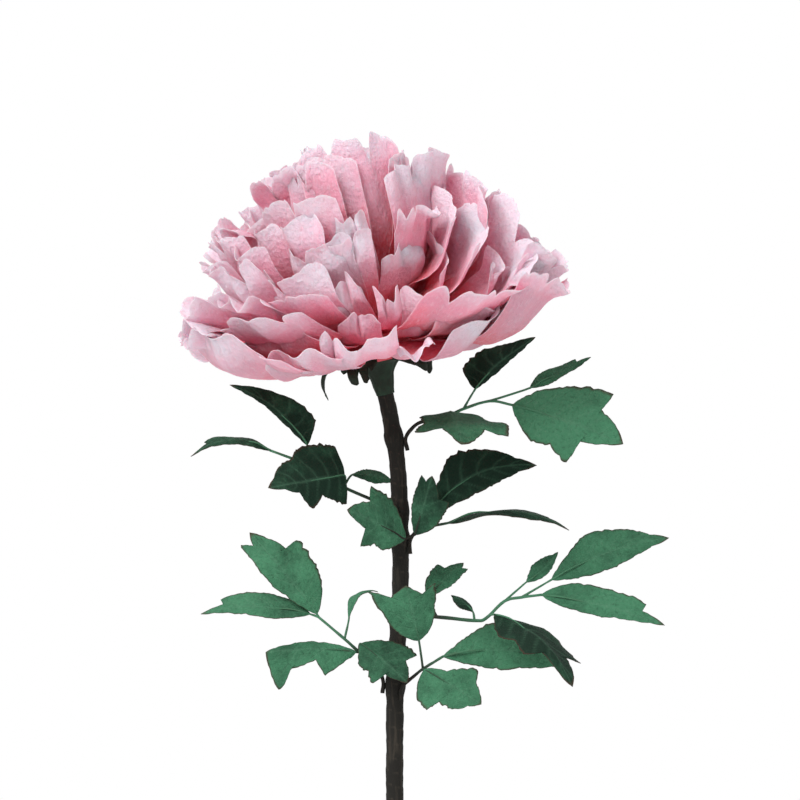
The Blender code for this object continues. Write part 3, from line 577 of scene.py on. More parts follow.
class Finish:
    """A material and the short calls that wire its nodes."""

    def __init__(self, name, roughness, specular=0.25):
        self.material = bpy.data.materials.new(name)
        self.material.use_nodes = True
        self.tree = self.material.node_tree
        self.shader = self.tree.nodes["Principled BSDF"]
        self.shader.inputs["Roughness"].default_value = roughness
        self.shader.inputs["Specular IOR Level"].default_value = specular

    def node(self, kind, inputs=(), **settings):
        """A node with its settings made and its inputs set or wired, by place or by name."""
        made = self.tree.nodes.new(kind)
        for key, value in settings.items():
            setattr(made, key, value)
        for key, value in dict(inputs).items():
            if isinstance(value, bpy.types.NodeSocket):
                self.tree.links.new(value, made.inputs[key])
            else:
                made.inputs[key].default_value = value
        return made

    def attribute(self, name):
        """A number that the mesh carries at each point."""
        return self.node("ShaderNodeAttribute", attribute_name=name).outputs["Fac"]

    def place(self, stretch=(1, 1, 1)):
        """Object coordinates, stretched."""
        source = self.node("ShaderNodeTexCoord").outputs["Object"]
        return self.node("ShaderNodeMapping", {"Vector": source, "Scale": stretch}).outputs[0]

    def sheet_place(self, stretch=(1, 1, 1)):
        """Coordinates along and across a sheet, from its own map."""
        source = self.node("ShaderNodeUVMap", uv_map="sheet").outputs[0]
        return self.node("ShaderNodeMapping", {"Vector": source, "Scale": stretch}).outputs[0]

    def grain(self, vector, scale, detail=4.0, roughness=0.6, distortion=0.0, kind="FBM"):
        """A noise pattern from 0 to 1."""
        made = self.node(
            "ShaderNodeTexNoise",
            {"Vector": vector, "Scale": scale, "Detail": detail, "Roughness": roughness,
             "Distortion": distortion},
            noise_type=kind, normalize=True,
        )
        return made.outputs[0]

    def sum(self, operation, *values):
        """One step of arithmetic."""
        return self.node("ShaderNodeMath", dict(enumerate(values)), operation=operation).outputs[0]

    def varied(self, value, pattern, spread, middle=0.5):
        """A value that a noise pattern moves up and down over a spread."""
        stray = self.sum("MULTIPLY_ADD", pattern, spread, -spread * middle)
        return self.sum("ADD", value, stray)

    def ramp(self, value, *stops):
        """A colour or grey read from stops of (position, colour)."""
        made = self.node("ShaderNodeValToRGB", {"Fac": value})
        made.color_ramp.interpolation = "EASE"
        elements = made.color_ramp.elements
        while len(elements) < len(stops):
            elements.new(0.5)
        for element, (position, colour) in zip(elements, stops):
            element.position = position
            grey = isinstance(colour, (int, float))
            element.color = (colour, colour, colour, 1) if grey else (*colour, 1)
        return made.outputs[0]

    def blend(self, share, first, second):
        """Two colours mixed by a share."""
        made = self.node("ShaderNodeMix", data_type="RGBA")
        for key, value in ((0, share), (6, first), (7, second)):
            if isinstance(value, bpy.types.NodeSocket):
                self.tree.links.new(value, made.inputs[key])
            else:
                made.inputs[key].default_value = value if key == 0 else (*value, 1)
        return made.outputs[2]

    def tinted(self, colour, tint, pattern, *stops):
        """A colour mixed with a tint by the ramp of a pattern."""
        return self.blend(self.ramp(pattern, *stops), colour, tint)

    def bump(self, height, strength, distance, under=None):
        """Relief from a height, over another relief."""
        inputs = {"Height": height, "Strength": strength, "Distance": distance}
        if under is not None:
            inputs["Normal"] = under
        return self.node("ShaderNodeBump", inputs).outputs[0]

    def wear(self, colour, normal):
        """Wires the colour and the relief to the shader, and gives the material."""
        self.tree.links.new(colour, self.shader.inputs["Base Color"])
        self.tree.links.new(normal, self.shader.inputs["Normal"])
        return self.material


def petal_crepe(head, name, red_to, pink_to):
    """Pink crepe paper: red out to one share of the reach, pink to the next and pale at the tips, with
    painted highlights on its rims and streaks and painted shade in its wrinkles.
    """
    finish = Finish(name, roughness=0.9, specular=0.15)
    finish.shader.inputs["Subsurface Weight"].default_value = head.glow
    finish.shader.inputs["Subsurface Radius"].default_value = (1.0, 0.3, 0.35)
    finish.shader.inputs["Subsurface Scale"].default_value = 4 * MM
    place = finish.place()
    mottle = finish.grain(place, scale=38.0)
    out = finish.varied(finish.attribute("out"), mottle, 0.36)
    out = finish.sum("ADD", out, finish.attribute("tone"))
    colour = finish.ramp(
        out, (red_to, head.base_colour), (pink_to, head.middle_colour), (1.0, head.tip_colour)
    )
    sheet = finish.node("ShaderNodeSeparateXYZ", {0: finish.sheet_place()})
    aside = finish.sum("ABSOLUTE", finish.sum("SUBTRACT", sheet.outputs[0], 0.5))
    # Painted highlight on the rims: the tips and side edges of each sheet are paled towards the rim colour,
    # as if their thin edges caught the light.
    tip = finish.ramp(sheet.outputs[1], (0.965, 0.0), (1.0, 0.5))
    rim = finish.sum("MAXIMUM", tip, finish.ramp(aside, (0.485, 0.0), (0.5, 0.4)))
    colour = finish.blend(rim, colour, head.rim_wear_and_highlight_colour)
    # Painted highlight: lengthwise crinkles, which also give relief, are paled on their ridges towards the
    # streak colour.
    streak = finish.grain(finish.sheet_place((24, 9, 1)), 2.6, detail=6.0, roughness=0.72, distortion=0.5)
    colour = finish.tinted(colour, head.streak_and_highlight_colour, streak, (0.48, 0.0), (0.70, 0.25))
    # Painted shade: the hollows of the fine wrinkles, which also give relief, are darkened towards the
    # wrinkle colour.
    wrinkle = finish.grain(place, scale=430.0, detail=5.0, roughness=0.65, distortion=0.8)
    colour = finish.tinted(colour, head.crease_shade_colour, wrinkle, (0.25, 0.35), (0.48, 0.0))
    facet = finish.node("ShaderNodeTexVoronoi", {"Vector": place, "Scale": 300.0}).outputs[0]
    relief = finish.bump(facet, 0.4, 1.8 * MM)
    relief = finish.bump(streak, 0.5, 2.0 * MM, relief)
    return finish.wear(colour, finish.bump(wrinkle, 0.9, 1.6 * MM, relief))


def leaf_paper(leaves):
    """Green paper with light veins, dark rims and a blotched dye, with painted highlights and painted shade
    on its wrinkles and a broad cloud of painted shading.
    """
    finish = Finish("leaf_paper", roughness=0.75, specular=0.16)
    blotch = finish.grain(finish.place(), scale=75.0, detail=6.0, roughness=0.68)
    # The tone is lowest on the leaves under the head: there it is painted shade of the head's shadow.
    tone = finish.varied(finish.attribute("tone"), blotch, 0.9)
    # Painted shading: a broad cloud darkens and lightens the leaves at random.
    cloud = finish.grain(finish.place(), scale=26.0, detail=2.0, roughness=0.5)
    tone = finish.varied(tone, cloud, 1.0, middle=0.52)
    colour = finish.ramp(tone, (0.0, leaves.dark_paper_and_shade_colour), (1.0, leaves.light_colour))
    vein = finish.attribute("vein")
    colour = finish.blend(finish.sum("MULTIPLY", vein, 0.26), colour, leaves.vein_and_highlight_colour)
    rim = finish.varied(finish.attribute("rim"), blotch, 0.6)
    colour = finish.tinted(colour, leaves.rim_wear_and_highlight_colour, rim, (0.50, 0.0), (0.88, 0.9))
    wrinkle = finish.grain(finish.place(), scale=380.0, detail=5.0, roughness=0.68, distortion=0.6)
    # Painted highlight: the ridges of the wrinkles, which also give relief, are paled towards the vein
    # colour on the lighter leaves.
    highlight_spots = finish.sum("MULTIPLY", finish.ramp(wrinkle, (0.5, 0.0), (0.75, 0.6)), tone)
    colour = finish.blend(highlight_spots, colour, leaves.vein_and_highlight_colour)
    # Painted shade: the hollows of the wrinkles are darkened towards the darkest paper.
    colour = finish.tinted(colour, leaves.dark_paper_and_shade_colour, wrinkle, (0.25, 0.45), (0.5, 0.0))
    relief = finish.bump(wrinkle, 0.9, 1.2 * MM)
    return finish.wear(colour, finish.bump(vein, 0.6, -0.6 * MM, relief))


def wire_tape(pole, leaves):
    """Thin tape round the leaf wires, brown at the pole and green at the leaves."""
    finish = Finish("wire_tape", roughness=0.8)
    patch = finish.grain(finish.place((1, 1, 3)), scale=120.0, detail=3.0)
    colour = finish.blend(finish.attribute("tone"), pole.tape_colour, leaves.wire_colour)
    colour = finish.tinted(colour, leaves.rim_wear_and_highlight_colour, patch, (0.4, 0.0), (0.8, 0.35))
    return finish.wear(colour, finish.bump(patch, 0.5, 0.4 * MM))


def pole_tape(pole):
    """Dark brown paper tape, rubbed lighter on its laps and lengthwise wrinkles."""
    finish = Finish("pole_tape", roughness=0.8, specular=0.2)
    streak = finish.grain(finish.place((1, 1, 0.12)), 260.0, detail=5.0, roughness=0.65, distortion=0.5)
    cloud = finish.grain(finish.place((1, 1, 0.35)), scale=40.0, detail=3.0)
    rubbed = finish.ramp(finish.varied(finish.attribute("lap"), cloud, 0.9), (0.5, 0.0), (1.1, 0.6))
    colour = finish.blend(rubbed, pole.tape_colour, pole.worn_colour)
    colour = finish.tinted(colour, pole.streak_and_highlight_colour, streak, (0.5, 0.0), (0.72, 0.5))
    return finish.wear(colour, finish.bump(streak, 0.6, 0.5 * MM))


def calyx_paper(leaves):
    """Nearly black green paper with soft wrinkles."""
    finish = Finish("calyx_paper", roughness=0.8)
    patch = finish.ramp(finish.grain(finish.place(), scale=90.0), (0.4, 0.0), (0.75, 0.6))
    colour = finish.blend(patch, leaves.calyx_colour, leaves.patch_colour)
    wrinkle = finish.grain(finish.place(), 400.0, distortion=0.6, kind="RIDGED_MULTIFRACTAL")
    return finish.wear(colour, finish.bump(wrinkle, 0.5, 0.5 * MM))


def core_wadding(head):
    """Red paper wound over the core."""
    finish = Finish("core_wadding", roughness=0.95, specular=0.1)
    patch = finish.grain(finish.place(), scale=150.0, roughness=0.7, distortion=0.5)
    colour = finish.blend(patch, head.core_colour, head.base_colour)
    return finish.wear(colour, finish.bump(patch, 0.6, 1 * MM))


# Meshes


def finished_piece(bm, name, materials, node, paper=None):
    """Turns a bmesh into a named piece that rides on the frame and stands for a node, with its sheets
    thickened to the paper's thickness. The second of two materials is for the paper's other side."""
    mesh = bpy.data.meshes.new(name)
    bm.to_mesh(mesh)
    bm.free()
    for material in materials:
        mesh.materials.append(material)
    mesh.shade_smooth()
    piece = bpy.data.objects.new(name, mesh)
    bpy.context.scene.collection.objects.link(piece)
    if paper:
        wall = piece.modifiers.new("paper", "SOLIDIFY")
        wall.thickness = paper
        wall.offset = 0.0
        wall.material_offset = len(materials) - 1
    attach(piece, "root")
    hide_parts(node)


def add_sheet(bm, columns, rows):
    """Adds a flat grid with a map, and gives its points with their places across and along."""
    made = bmesh.ops.create_grid(bm, x_segments=columns, y_segments=rows, size=1.0, calc_uvs=True)
    return [(vert, vert.co.x, (vert.co.y + 1) / 2) for vert in made["verts"]]


def sheet_bmesh():
    """An empty bmesh with the map and the numbers that a sheet's points carry."""
    bm = bmesh.new()
    bm.loops.layers.uv.new("sheet")
    for name in ("out", "tone", "vein", "rim"):
        bm.verts.layers.float.new(name)
    return bm


def crumple(place, seed, height):
    """Height of crumpled paper at a place on the flat sheet, in metres."""
    total = 0.0
    for across, along, shift, weight, folded in CRUMPLE_LAYERS:
        value = noise_at(place[0] / across, place[1] / along, seed + shift)
        total += weight * (FOLD_MEAN - abs(value) if folded else value)
    return height * total


def head_frame(head):
    """The matrix from the flower head's frame, +Z out of the flower, to the world."""
    lean = Matrix.Rotation(-head.lean, 4, "Y")
    nod = Matrix.Rotation(head.nod, 4, "X")
    return Matrix.Translation(HEAD_CENTRE) @ lean @ nod


def petal_traits(number, head):
    """What sets one petal apart: its place in the spiral and the small accidents of hand work."""
    rng = random.Random(PETAL_SEEDS[0] + number)
    age = number / (PETAL_COUNT - 1)
    stray = mix(STRAY_ANGLES, age)
    lobes = rng.sample(LOBE_PLACES, rng.choice(NOTCH_COUNTS))
    traits = {key: mix(pair, age) for key, pair in AGEING.items()}
    traits["bearing"] = FIRST_PETAL_BEARING + number * GOLDEN_ANGLE
    traits["open"] += stray * rng.uniform(-0.5, 0.5)
    traits["tip"] += stray * rng.uniform(-1, 1)
    traits["reach"] = head.radius * rng.uniform(*REACH_SPREAD)
    traits["width"] *= rng.uniform(*WIDTH_SPREAD)
    traits["roll"] *= rng.uniform(-1, 1)
    traits["phase"] = rng.uniform(0, tau)
    traits["notches"] = [(where, rng.uniform(*NOTCH_DEPTHS)) for where in lobes]
    traits.update(widest=WIDEST_AT, twist=0.0)
    part = 1 - min(1.0, abs(traits["bearing"] % 360 - PARTING_BEARING) / PARTING_HALF_WIDTH)
    part *= ease(traits["tip"], PARTING_TILTS[:2]) * (1 - ease(traits["tip"], PARTING_TILTS[2:]))
    side = copysign(1, traits["bearing"] % 360 - PARTING_BEARING)
    traits["bearing"] += PARTING_TURN * side * part
    traits["sheets"] = 3 if THREE_SHEET_AGES[0] <= age <= THREE_SHEET_AGES[1] else 2
    placed = PLACED.get(number + 1, {})
    traits["open"] += OPEN_SHARE * (placed.get("tip", traits["tip"]) - traits["tip"])
    traits.update(hand_work(rng, traits["width"]))
    traits.update(in_metres(placed, head))
    return traits


def in_metres(row, head):
    """A row of the petal tables with its width and reach turned from shares to metres."""
    return {key: value * (head.radius if key in ("width", "reach") else 1) for key, value in row.items()}


def hand_work(rng, width):
    """The accidents of cutting, creasing and curling one sheet."""
    lobes, start = [], -1.0
    while start < 1:
        end = start + 2 * rng.uniform(*LOBE_WIDTHS) / width
        lobes.append((start, end, rng.uniform(*LOBE_DEPTHS)))
        start = end
    work = {key: rng.uniform(*span) for key, span in HAND_WORK.items()}
    work.update(lobes=lobes, lobe_power=rng.choice(LOBE_POWERS))
    work.update(flat=rng.uniform(*FLATNESS), tone=rng.uniform(*TONE_SPREAD))
    return work


def petal_edge(traits, across):
    """How far out the petal's free edge lies at a place across it, as a share of its reach."""
    cut = 0.0
    for where, depth in traits["notches"]:
        near = max(0.0, 1 - abs(across - where) / NOTCH_REACH)
        cut += depth * near**NOTCH_POWER
    for start, end, depth in traits["lobes"]:
        if start <= across < end:
            beside = abs(2 * (across - start) / (end - start) - 1)
            cut += depth / traits["reach"] * beside ** traits["lobe_power"]
    uneven = RIM_SWAY * noise_at(across * RIM_SWAYS, traits["seed"], RIM_SLICE)
    corner = traits.get("point", CORNER_CUT * traits["width"] / traits["reach"])
    return 1 - corner * abs(across) ** traits.get("sharpness", CORNER_SHARPNESS) - cut + uneven


def petal_point(traits, across, along):
    """A point of a petal in the head's frame, and its share of the way out."""
    share = along * petal_edge(traits, across)
    seat = CORE_RADIUS + SEAT_GAP
    radius = seat + (traits["reach"] - seat) * share
    middle = (
        traits["seat"]
        + (traits["open"] - traits["seat"]) * ease(share, OPENING)
        + (traits["tip"] - traits["open"]) * ease(share, CURLING)
    )
    curl = ease(share / petal_edge(traits, across), REFLEXING) ** CURL_POWER
    curl *= 1 + CURL_SWING * sin(CURL_WAVES * across + traits["phase"])
    tilt = (
        middle
        - traits["cup"] * across * across * ease(share, CUPPING)
        + traits["roll"] * across * share
        + traits["wave"] * share * share * sin(WAVES_ACROSS * tau * across + traits["phase"])
        + traits["ruffle"] * share**3 * sin(traits["ruffles"] * pi * across + traits["seed"])
        + traits["reflex"] * curl
        - traits["crease"] * (abs(across - traits["crease_at"]) - 0.5) * ease(share, CREASING)
    )
    radius -= abs(traits["reflex"]) * curl * CURL_DROP
    tilt = radians(max(STEEPEST_EDGE, tilt))
    spread = sin(0.5 * pi * min(1.0, share / traits["widest"])) ** FLARE_POWER
    half_width = (traits["seat_width"] + (traits["width"] - traits["seat_width"]) * spread) / 2
    ring = radius * sin(radians(max(STEEPEST_MIDDLE, middle)))
    turn = min(half_width / ring, radians(HALF_TURN_CAP))
    middle_bearing = radians(traits["bearing"] + traits["sweep"] * share * share)
    twist = radians(traits["twist"]) * ease(share, TWISTING)
    flat = max(traits["flat"], min(1.0, abs(traits["twist"]) / FLAT_TWIST))
    bearing = middle_bearing + across * turn * (1 - flat)
    out = Vector((cos(bearing), sin(bearing), 0))
    point = radius * (sin(tilt) * out + cos(tilt) * UP)
    aside = Vector((-sin(middle_bearing), cos(middle_bearing), 0))
    upward = sin(tilt) * UP - cos(tilt) * out
    aside = cos(twist) * aside + sin(twist) * upward
    return point + aside * (across * half_width * flat), share


def add_petal(bm, traits, head, columns, rows):
    """Adds one crumpled petal sheet to a bmesh."""
    out, tone = bm.verts.layers.float["out"], bm.verts.layers.float["tone"]
    points = add_sheet(bm, columns, rows)
    edges = {edge for vert, _, _ in points for edge in vert.link_edges}
    for edge in edges:
        edge.smooth = not edge.is_boundary
    heights = {}
    for vert, across, along in points:
        vert.co, share = petal_point(traits, across, along)
        vert[out] = share
        vert[tone] = traits["tone"]
        flat = (across * traits["width"] / 2, share * traits["reach"])
        heights[vert] = crumple(flat, traits["seed"], head.crumple) * ease(share, CRUMPLING)
    for face in {face for vert, _, _ in points for face in vert.link_faces}:
        face.normal_update()
    for vert, _, _ in points:
        vert.normal_update()
    for vert, height in heights.items():
        vert.co = vert.co + vert.normal * height


def petal_sheets(number, head):
    """The sheets that make one petal: one to three of the spiral, and those tucked in beside it."""
    main = petal_traits(number, head)
    rng = random.Random(PETAL_SEEDS[1] + number)
    half_turn = degrees(main["width"] / 2 / (main["reach"] * sin(radians(main["tip"]))))
    sheets = [main]
    if main["sheets"] > 1:
        first_side = rng.choice((-1, 1))
        main["width"] *= rng.uniform(*MAIN_WIDTH)
        main["roll"] += first_side * rng.uniform(*MAIN_ROLL)
        main["bearing"] -= first_side * MAIN_STEP * min(half_turn, STEP_CAPS[0])
        for place in range(1, main["sheets"]):
            side = first_side if place == 1 else -first_side
            sheet = {**main, **hand_work(rng, main["width"])}
            sheet["bearing"] += side * min(half_turn, STEP_CAPS[1]) * rng.uniform(*SIDE_STEP)
            for key, span in SIDE_TILTS.items():
                sheet[key] -= rng.uniform(*span)
            for key, span in SIDE_SHARES.items():
                sheet[key] *= rng.uniform(*span)
            sheet["roll"] -= side * rng.uniform(*SIDE_ROLL)
            sheet["phase"] = rng.uniform(0, tau)
            sheet["notches"] = [(rng.choice(LOBE_PLACES), rng.uniform(*SIDE_NOTCHES))]
            sheets.append(sheet)
    for tucked in TUCKED.get(number + 1, ()):
        sheet = {**main, "cup": TUCKED_CUP, "roll": 0.0, "widest": WIDEST_AT, "twist": 0.0}
        sheet.update(hand_work(rng, tucked["width"] * head.radius))
        sheet.update(in_metres(tucked, head))
        sheet["open"] = tucked.get("open", main["open"] + OPEN_SHARE * (tucked["tip"] - main["tip"]))
        sheet["notches"] = [(rng.choice(LOBE_PLACES), rng.uniform(*TUCKED_NOTCHES))]
        sheets.append(sheet)
    return sheets


def sepal_traits(number):
    """The size and place of one sepal, in the terms that petal_point reads."""
    rng = random.Random(number)
    traits = {
        "bearing": SEPAL_BEARING + number * 360 / SEPAL_COUNT,
        "reach": SEPAL_REACH * rng.uniform(*SEPAL_REACH_SPREAD),
        "tip": SEPAL_TIP_ANGLE + rng.uniform(-SEPAL_STRAY, SEPAL_STRAY),
        "roll": rng.uniform(-SEPAL_STRAY, SEPAL_STRAY),
        "phase": rng.uniform(0, tau),
        "notches": FRAYED_NOTCHES if number == FRAYED_SEPAL else SEPAL_NOTCHES,
    }
    return {**traits, **hand_work(rng, SEPAL_TRAITS["width"]), **SEPAL_TRAITS}


# Leaf sprays


def tube(points, radii, sides):
    """A capped round tube through points as a bmesh, with its own radius at each."""
    curve = bpy.data.curves.new("tube", "CURVE")
    curve.dimensions = "3D"
    curve.bevel_depth = 1.0
    curve.bevel_resolution = sides // 2 - 2
    curve.use_fill_caps = True
    spline = curve.splines.new("POLY")
    spline.points.add(len(points) - 1)
    for control, point, radius in zip(spline.points, points, radii):
        control.co = (*point, 1.0)
        control.radius = radius
    holder = bpy.data.objects.new("tube", curve)
    bpy.context.scene.collection.objects.link(holder)
    graph = bpy.context.evaluated_depsgraph_get()
    mesh = bpy.data.meshes.new_from_object(holder.evaluated_get(graph))
    bpy.data.objects.remove(holder, do_unlink=True)
    bm = bmesh.new()
    bm.from_mesh(mesh)
    bpy.data.meshes.remove(mesh)
    bmesh.ops.remove_doubles(bm, verts=bm.verts, dist=min(radii) * 0.01)
    bmesh.ops.recalc_face_normals(bm, faces=bm.faces)
    return bm


def pole_path(head):
    """Points of the pole's axis from its foot to its top, the last run straight into the head."""
    neck = head_frame(head) @ Vector((0, 0, -NECK_LENGTH))
    sway = [Vector((stray, 0, POLE_LENGTH - drop)) for drop, stray in POLE_SWAY]
    sway += [neck, head_frame(head) @ Vector((0, 0, 0))]
    middle = Vector((0, 0, 0.5 * (POLE_LENGTH - POLE_SWAY[0][0])))
    return [Vector((0, 0, 0)), middle] + smooth_path(sway, 3)


def pole_axis_at(height, path):
    """The point of the pole's axis at a height."""
    for low, high in zip(path, path[1:]):
        if low.z <= height <= high.z:
            return low.lerp(high, (height - low.z) / (high.z - low.z))
    return path[-1]


def pole_radius_at(height, pole):
    """The pole's radius at a height, with a swelling at each spray's binding."""
    share = ease((height - (POLE_LENGTH - POLE_SWAY[0][0])) / POLE_SWAY[0][0])
    radius = mix((pole.diameter, pole.top_diameter), share) / 2
    knots = [POLE_LENGTH - spray[1] for spray in SPRAYS]
    swell = max(ease(1 - abs(height - knot) / KNOT_HALF_LENGTH) for knot in knots)
    return radius + KNOT_SWELL * swell


def leaf_point(leaflet, along, out, waviness, seed):
    """A point of a leaf from its place along the midrib and out to the left, in shares of its length."""
    _, _, base, tip, face, breadth, bend, arch, _ = leaflet
    length = (tip - base).length
    forward = (tip - base).normalized()
    normal = (face - forward * face.dot(forward)).normalized()
    left = normal.cross(forward)
    bow = 4 * along * (1 - along)
    side = out * breadth + bend * bow
    shift = LEAF_WAVE_SHIFT if out > 0 else 0
    wave = waviness * sin(LEAF_WAVES * along + seed + shift) * min(1, abs(out) * LEAF_WAVE_RISE)
    rise = arch * bow - LEAF_FOLD * abs(out) + wave
    rise += LEAF_BUCKLE * noise_at(along * LEAF_BUCKLES[0], out * LEAF_BUCKLES[1], seed)
    rise -= LEAF_NOD * ease(along, NODDING) * sin(seed * 3)
    return base + length * (forward * along + left * side + normal * rise)


def rim_at(edge, along):
    """The leaf's rim at a share of the way along its outline: arcs between the lobes and notches."""
    points = [(0.0, 0.0), *edge, (1.0, 0.0)]
    place = along * (len(points) - 1)
    index = min(int(place), len(points) - 2)
    (x0, y0), (x1, y1) = points[index], points[index + 1]
    t = place - index
    bulge = RIM_BULGE * sin(pi * t)
    return x0 + (x1 - x0) * t - (y1 - y0) * bulge, y0 + (y1 - y0) * t + (x1 - x0) * bulge


def add_leaf(bm, leaflet, leaves, seed):
    """Adds one veined leaf blade to a bmesh."""
    edges = [[(x / 100, y / 100) for x, y in edge] for edge in LEAF_OUTLINES[leaflet[0]]]
    layers = [bm.verts.layers.float[name] for name in ("tone", "vein", "rim")]
    points = add_sheet(bm, LEAF_COLUMNS, LEAF_ROWS_PER_SPAN * (len(edges[0]) + 1))
    length = (leaflet[3] - leaflet[2]).length
    for vert, across, along in points:
        share, side = abs(across), 1 if across >= 0 else -1
        far, out = rim_at(edges[0] if side > 0 else edges[1], along)
        ragged = 1 + LEAF_RAGGED * noise_at(along * LEAF_TEETH, seed, side)
        place = along + (far - along) * share
        out = copysign(out * share * ragged, across)
        vert.co = leaf_point(leaflet, place, out, leaves.waviness, seed)
        midrib = 1 - abs(out) * length / MIDRIB_HALF_WIDTH
        rib = 1 - abs(((along - RIB_SLANT * share) * RIB_COUNT) % 1 - 0.5) * RIB_THINNESS
        rib = max(0.0, rib) * (1 - share) ** RIB_FADE * (share > RIB_START)
        worn = ease(along, TIP_WEAR[0]) * TIP_WEAR[1] + ease(1 - along, BASE_WEAR[0]) * BASE_WEAR[1]
        worn += share ** RIM_WEAR[0] * RIM_WEAR[1]
        for layer, value in zip(layers, (leaflet[-1], max(0.0, midrib, rib), worn)):
            vert[layer] = value
    bmesh.ops.remove_doubles(bm, verts=[vert for vert, _, _ in points], dist=2 * MERGE_DISTANCE)


def spray_wires(spray, leaflets, axis, root):
    """The stalk and the twigs of a spray as one bmesh."""
    forks = [axis + Vector(point) * MM for point in spray[3]]
    path = smooth_path([*root, *forks], WIRE_STEPS)
    radii = [mix((STALK_DIAMETER, TWIG_DIAMETER), i / (len(path) - 1)) / 2 for i in range(len(path))]
    runs = [(path, radii)]
    for leaflet in leaflets:
        ribs = [leaf_point(leaflet, share, 0.0, 0.0, 0.0) for share in TWIG_END]
        start = forks[leaflet[1]]
        points = ribs if (start - ribs[0]).length < TWIG_DIAMETER else [start, *ribs]
        twig = smooth_path(points, WIRE_STEPS)
        count = len(twig) - 1
        runs.append((twig, [TWIG_DIAMETER / 2 * (1 - TWIG_TAPER * i / count) for i in range(count + 1)]))
    joined = bmesh.new()
    tone = joined.verts.layers.float.new("tone")
    for points, sizes in runs:
        bm = tube(points, sizes, WIRE_SIDES)
        mesh = bpy.data.meshes.new("wire")
        bm.to_mesh(mesh)
        bm.free()
        joined.from_mesh(mesh)
        bpy.data.meshes.remove(mesh)
    for vert in joined.verts:
        vert[tone] = ease((vert.co - axis).length, WIRE_GREENING)
        lump = WIRE_LUMP * noise_at(*(vert.co / WIRE_LUMP_SPACING))
        vert.co = vert.co + vert.normal * lump
    return joined


# Operators


class PEONY_OT_build_petals(bpy.types.Operator):
    """Build every petal of the flower head"""

    bl_idname = "peony.build_petals"
    bl_label = "Build Petals"

    def execute(self, context):
        head = context.scene.peony_head
        papers = [petal_crepe(head, "petal_back", 0.34, 0.70), petal_crepe(head, "petal_face", 0.50, 0.78)]
        for number in range(PETAL_COUNT):
            bm = sheet_bmesh()
            for traits in petal_sheets(number, head):
                size = max(FEWEST_COLUMNS, traits["width"] / AGEING["width"][0])
                add_petal(bm, traits, head, round(PETAL_COLUMNS * size), PETAL_ROWS)
            bm.transform(head_frame(head))
            name, node = f"petal_sheet_{number + 1:02d}", f"petal_{number + 1:02d}"
            finished_piece(bm, name, papers, node, head.paper)
        return {"FINISHED"}


class PEONY_OT_build_calyx(bpy.types.Operator):
    """Build the collar and the sepals under the head"""

    bl_idname = "peony.build_calyx"
    bl_label = "Build Calyx"

    def execute(self, context):
        scene = context.scene
        head, leaves = scene.peony_head, scene.peony_leaves
        paper = calyx_paper(leaves)
        for number in range(SEPAL_COUNT):
            bm = sheet_bmesh()
            add_petal(bm, sepal_traits(number), head, *SEPAL_GRID)
            bm.transform(head_frame(head))
            name, node = f"sepal_sheet_{number + 1}", f"sepal_{number + 1}"
            finished_piece(bm, name, [paper], node, leaves.paper)
        self.build_collar(head, scene.peony_pole, paper)
        wadding = core_wadding(head)
        for material_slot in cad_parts["flower_core"].material_slots:
            material_slot.material = wadding
        return {"FINISHED"}

    def build_collar(self, head, pole, paper):
        """Spins the collar's profile and pleats it."""
        top = CORE_RADIUS * cos(radians(CORE_FLOOR_ANGLE)) - SEAT_GAP
        foot = pole.top_diameter / 2 + COLLAR_GAP
        flare = CORE_RADIUS * sin(radians(CORE_FLOOR_ANGLE)) - COLLAR_INSET - foot
        guides = [
            Vector((foot + flare * out, 0, top - COLLAR_LENGTH * down)) for out, down in COLLAR_PROFILE
        ]
        bm = bmesh.new()
        verts = [bm.verts.new(point) for point in smooth_path(guides, 8)]
        edges = [bm.edges.new(pair) for pair in zip(verts, verts[1:])]
        bmesh.ops.spin(
            bm, geom=verts + edges, cent=(0, 0, 0), axis=(0, 0, 1), angle=tau,
            steps=COLLAR_SIDES, use_merge=True,
        )
        bmesh.ops.remove_doubles(bm, verts=bm.verts, dist=MERGE_DISTANCE)
        bmesh.ops.recalc_face_normals(bm, faces=bm.faces)
        for vert in bm.verts:
            turn = atan2(vert.co.y, vert.co.x)
            down = (top - vert.co.z) / COLLAR_LENGTH
            pleat = PLEAT_DEPTH * sin(PLEAT_COUNT * turn + 2 * sin(3 * turn)) * (1 - 0.6 * down)
            lump = COLLAR_LUMP * noise_at(*(vert.co / COLLAR_LUMP_SPACING))
            vert.co = vert.co + vert.normal * (pleat + lump)
        bm.transform(head_frame(head))
        finished_piece(bm, "calyx_trumpet", [paper], "calyx_collar", COLLAR_WALL)


class PEONY_OT_build_sprays(bpy.types.Operator):
    """Build the six wired leaf sprays"""

    bl_idname = "peony.build_sprays"
    bl_label = "Build Leaf Sprays"

    def execute(self, context):
        scene = context.scene
        leaves, pole, head = scene.peony_leaves, scene.peony_pole, scene.peony_head
        paper, tape = leaf_paper(leaves), wire_tape(pole, leaves)
        path = pole_path(head)
        for index, spray in enumerate(SPRAYS):
            name, drop, bearing = spray[:3]
            height = POLE_LENGTH - drop
            axis = pole_axis_at(height, path)
            away = Vector((sin(radians(bearing)), -cos(radians(bearing)), 0))
            away *= pole_radius_at(height, pole) + SEAT_GAP + STALK_DIAMETER / 2
            root = [pole_axis_at(height - STALK_ROOT_LENGTH, path) + away, axis + away]
            leaflets = [
                (row[0], row[1], axis + Vector(row[2]) * MM, axis + Vector(row[3]) * MM, Vector(row[4]))
                + row[5:]
                for row in spray[4]
            ]
            bm = sheet_bmesh()
            for number, leaflet in enumerate(leaflets):
                add_leaf(bm, leaflet, leaves, index * LEAF_SEEDS[0] + number * LEAF_SEEDS[1])
            node = f"leaf_spray_{name}"
            finished_piece(bm, f"spray_{name}_leaves", [paper], node, leaves.paper)
            wires = spray_wires(spray, leaflets, axis, root)
            finished_piece(wires, f"spray_{name}_wires", [tape], node)
        return {"FINISHED"}


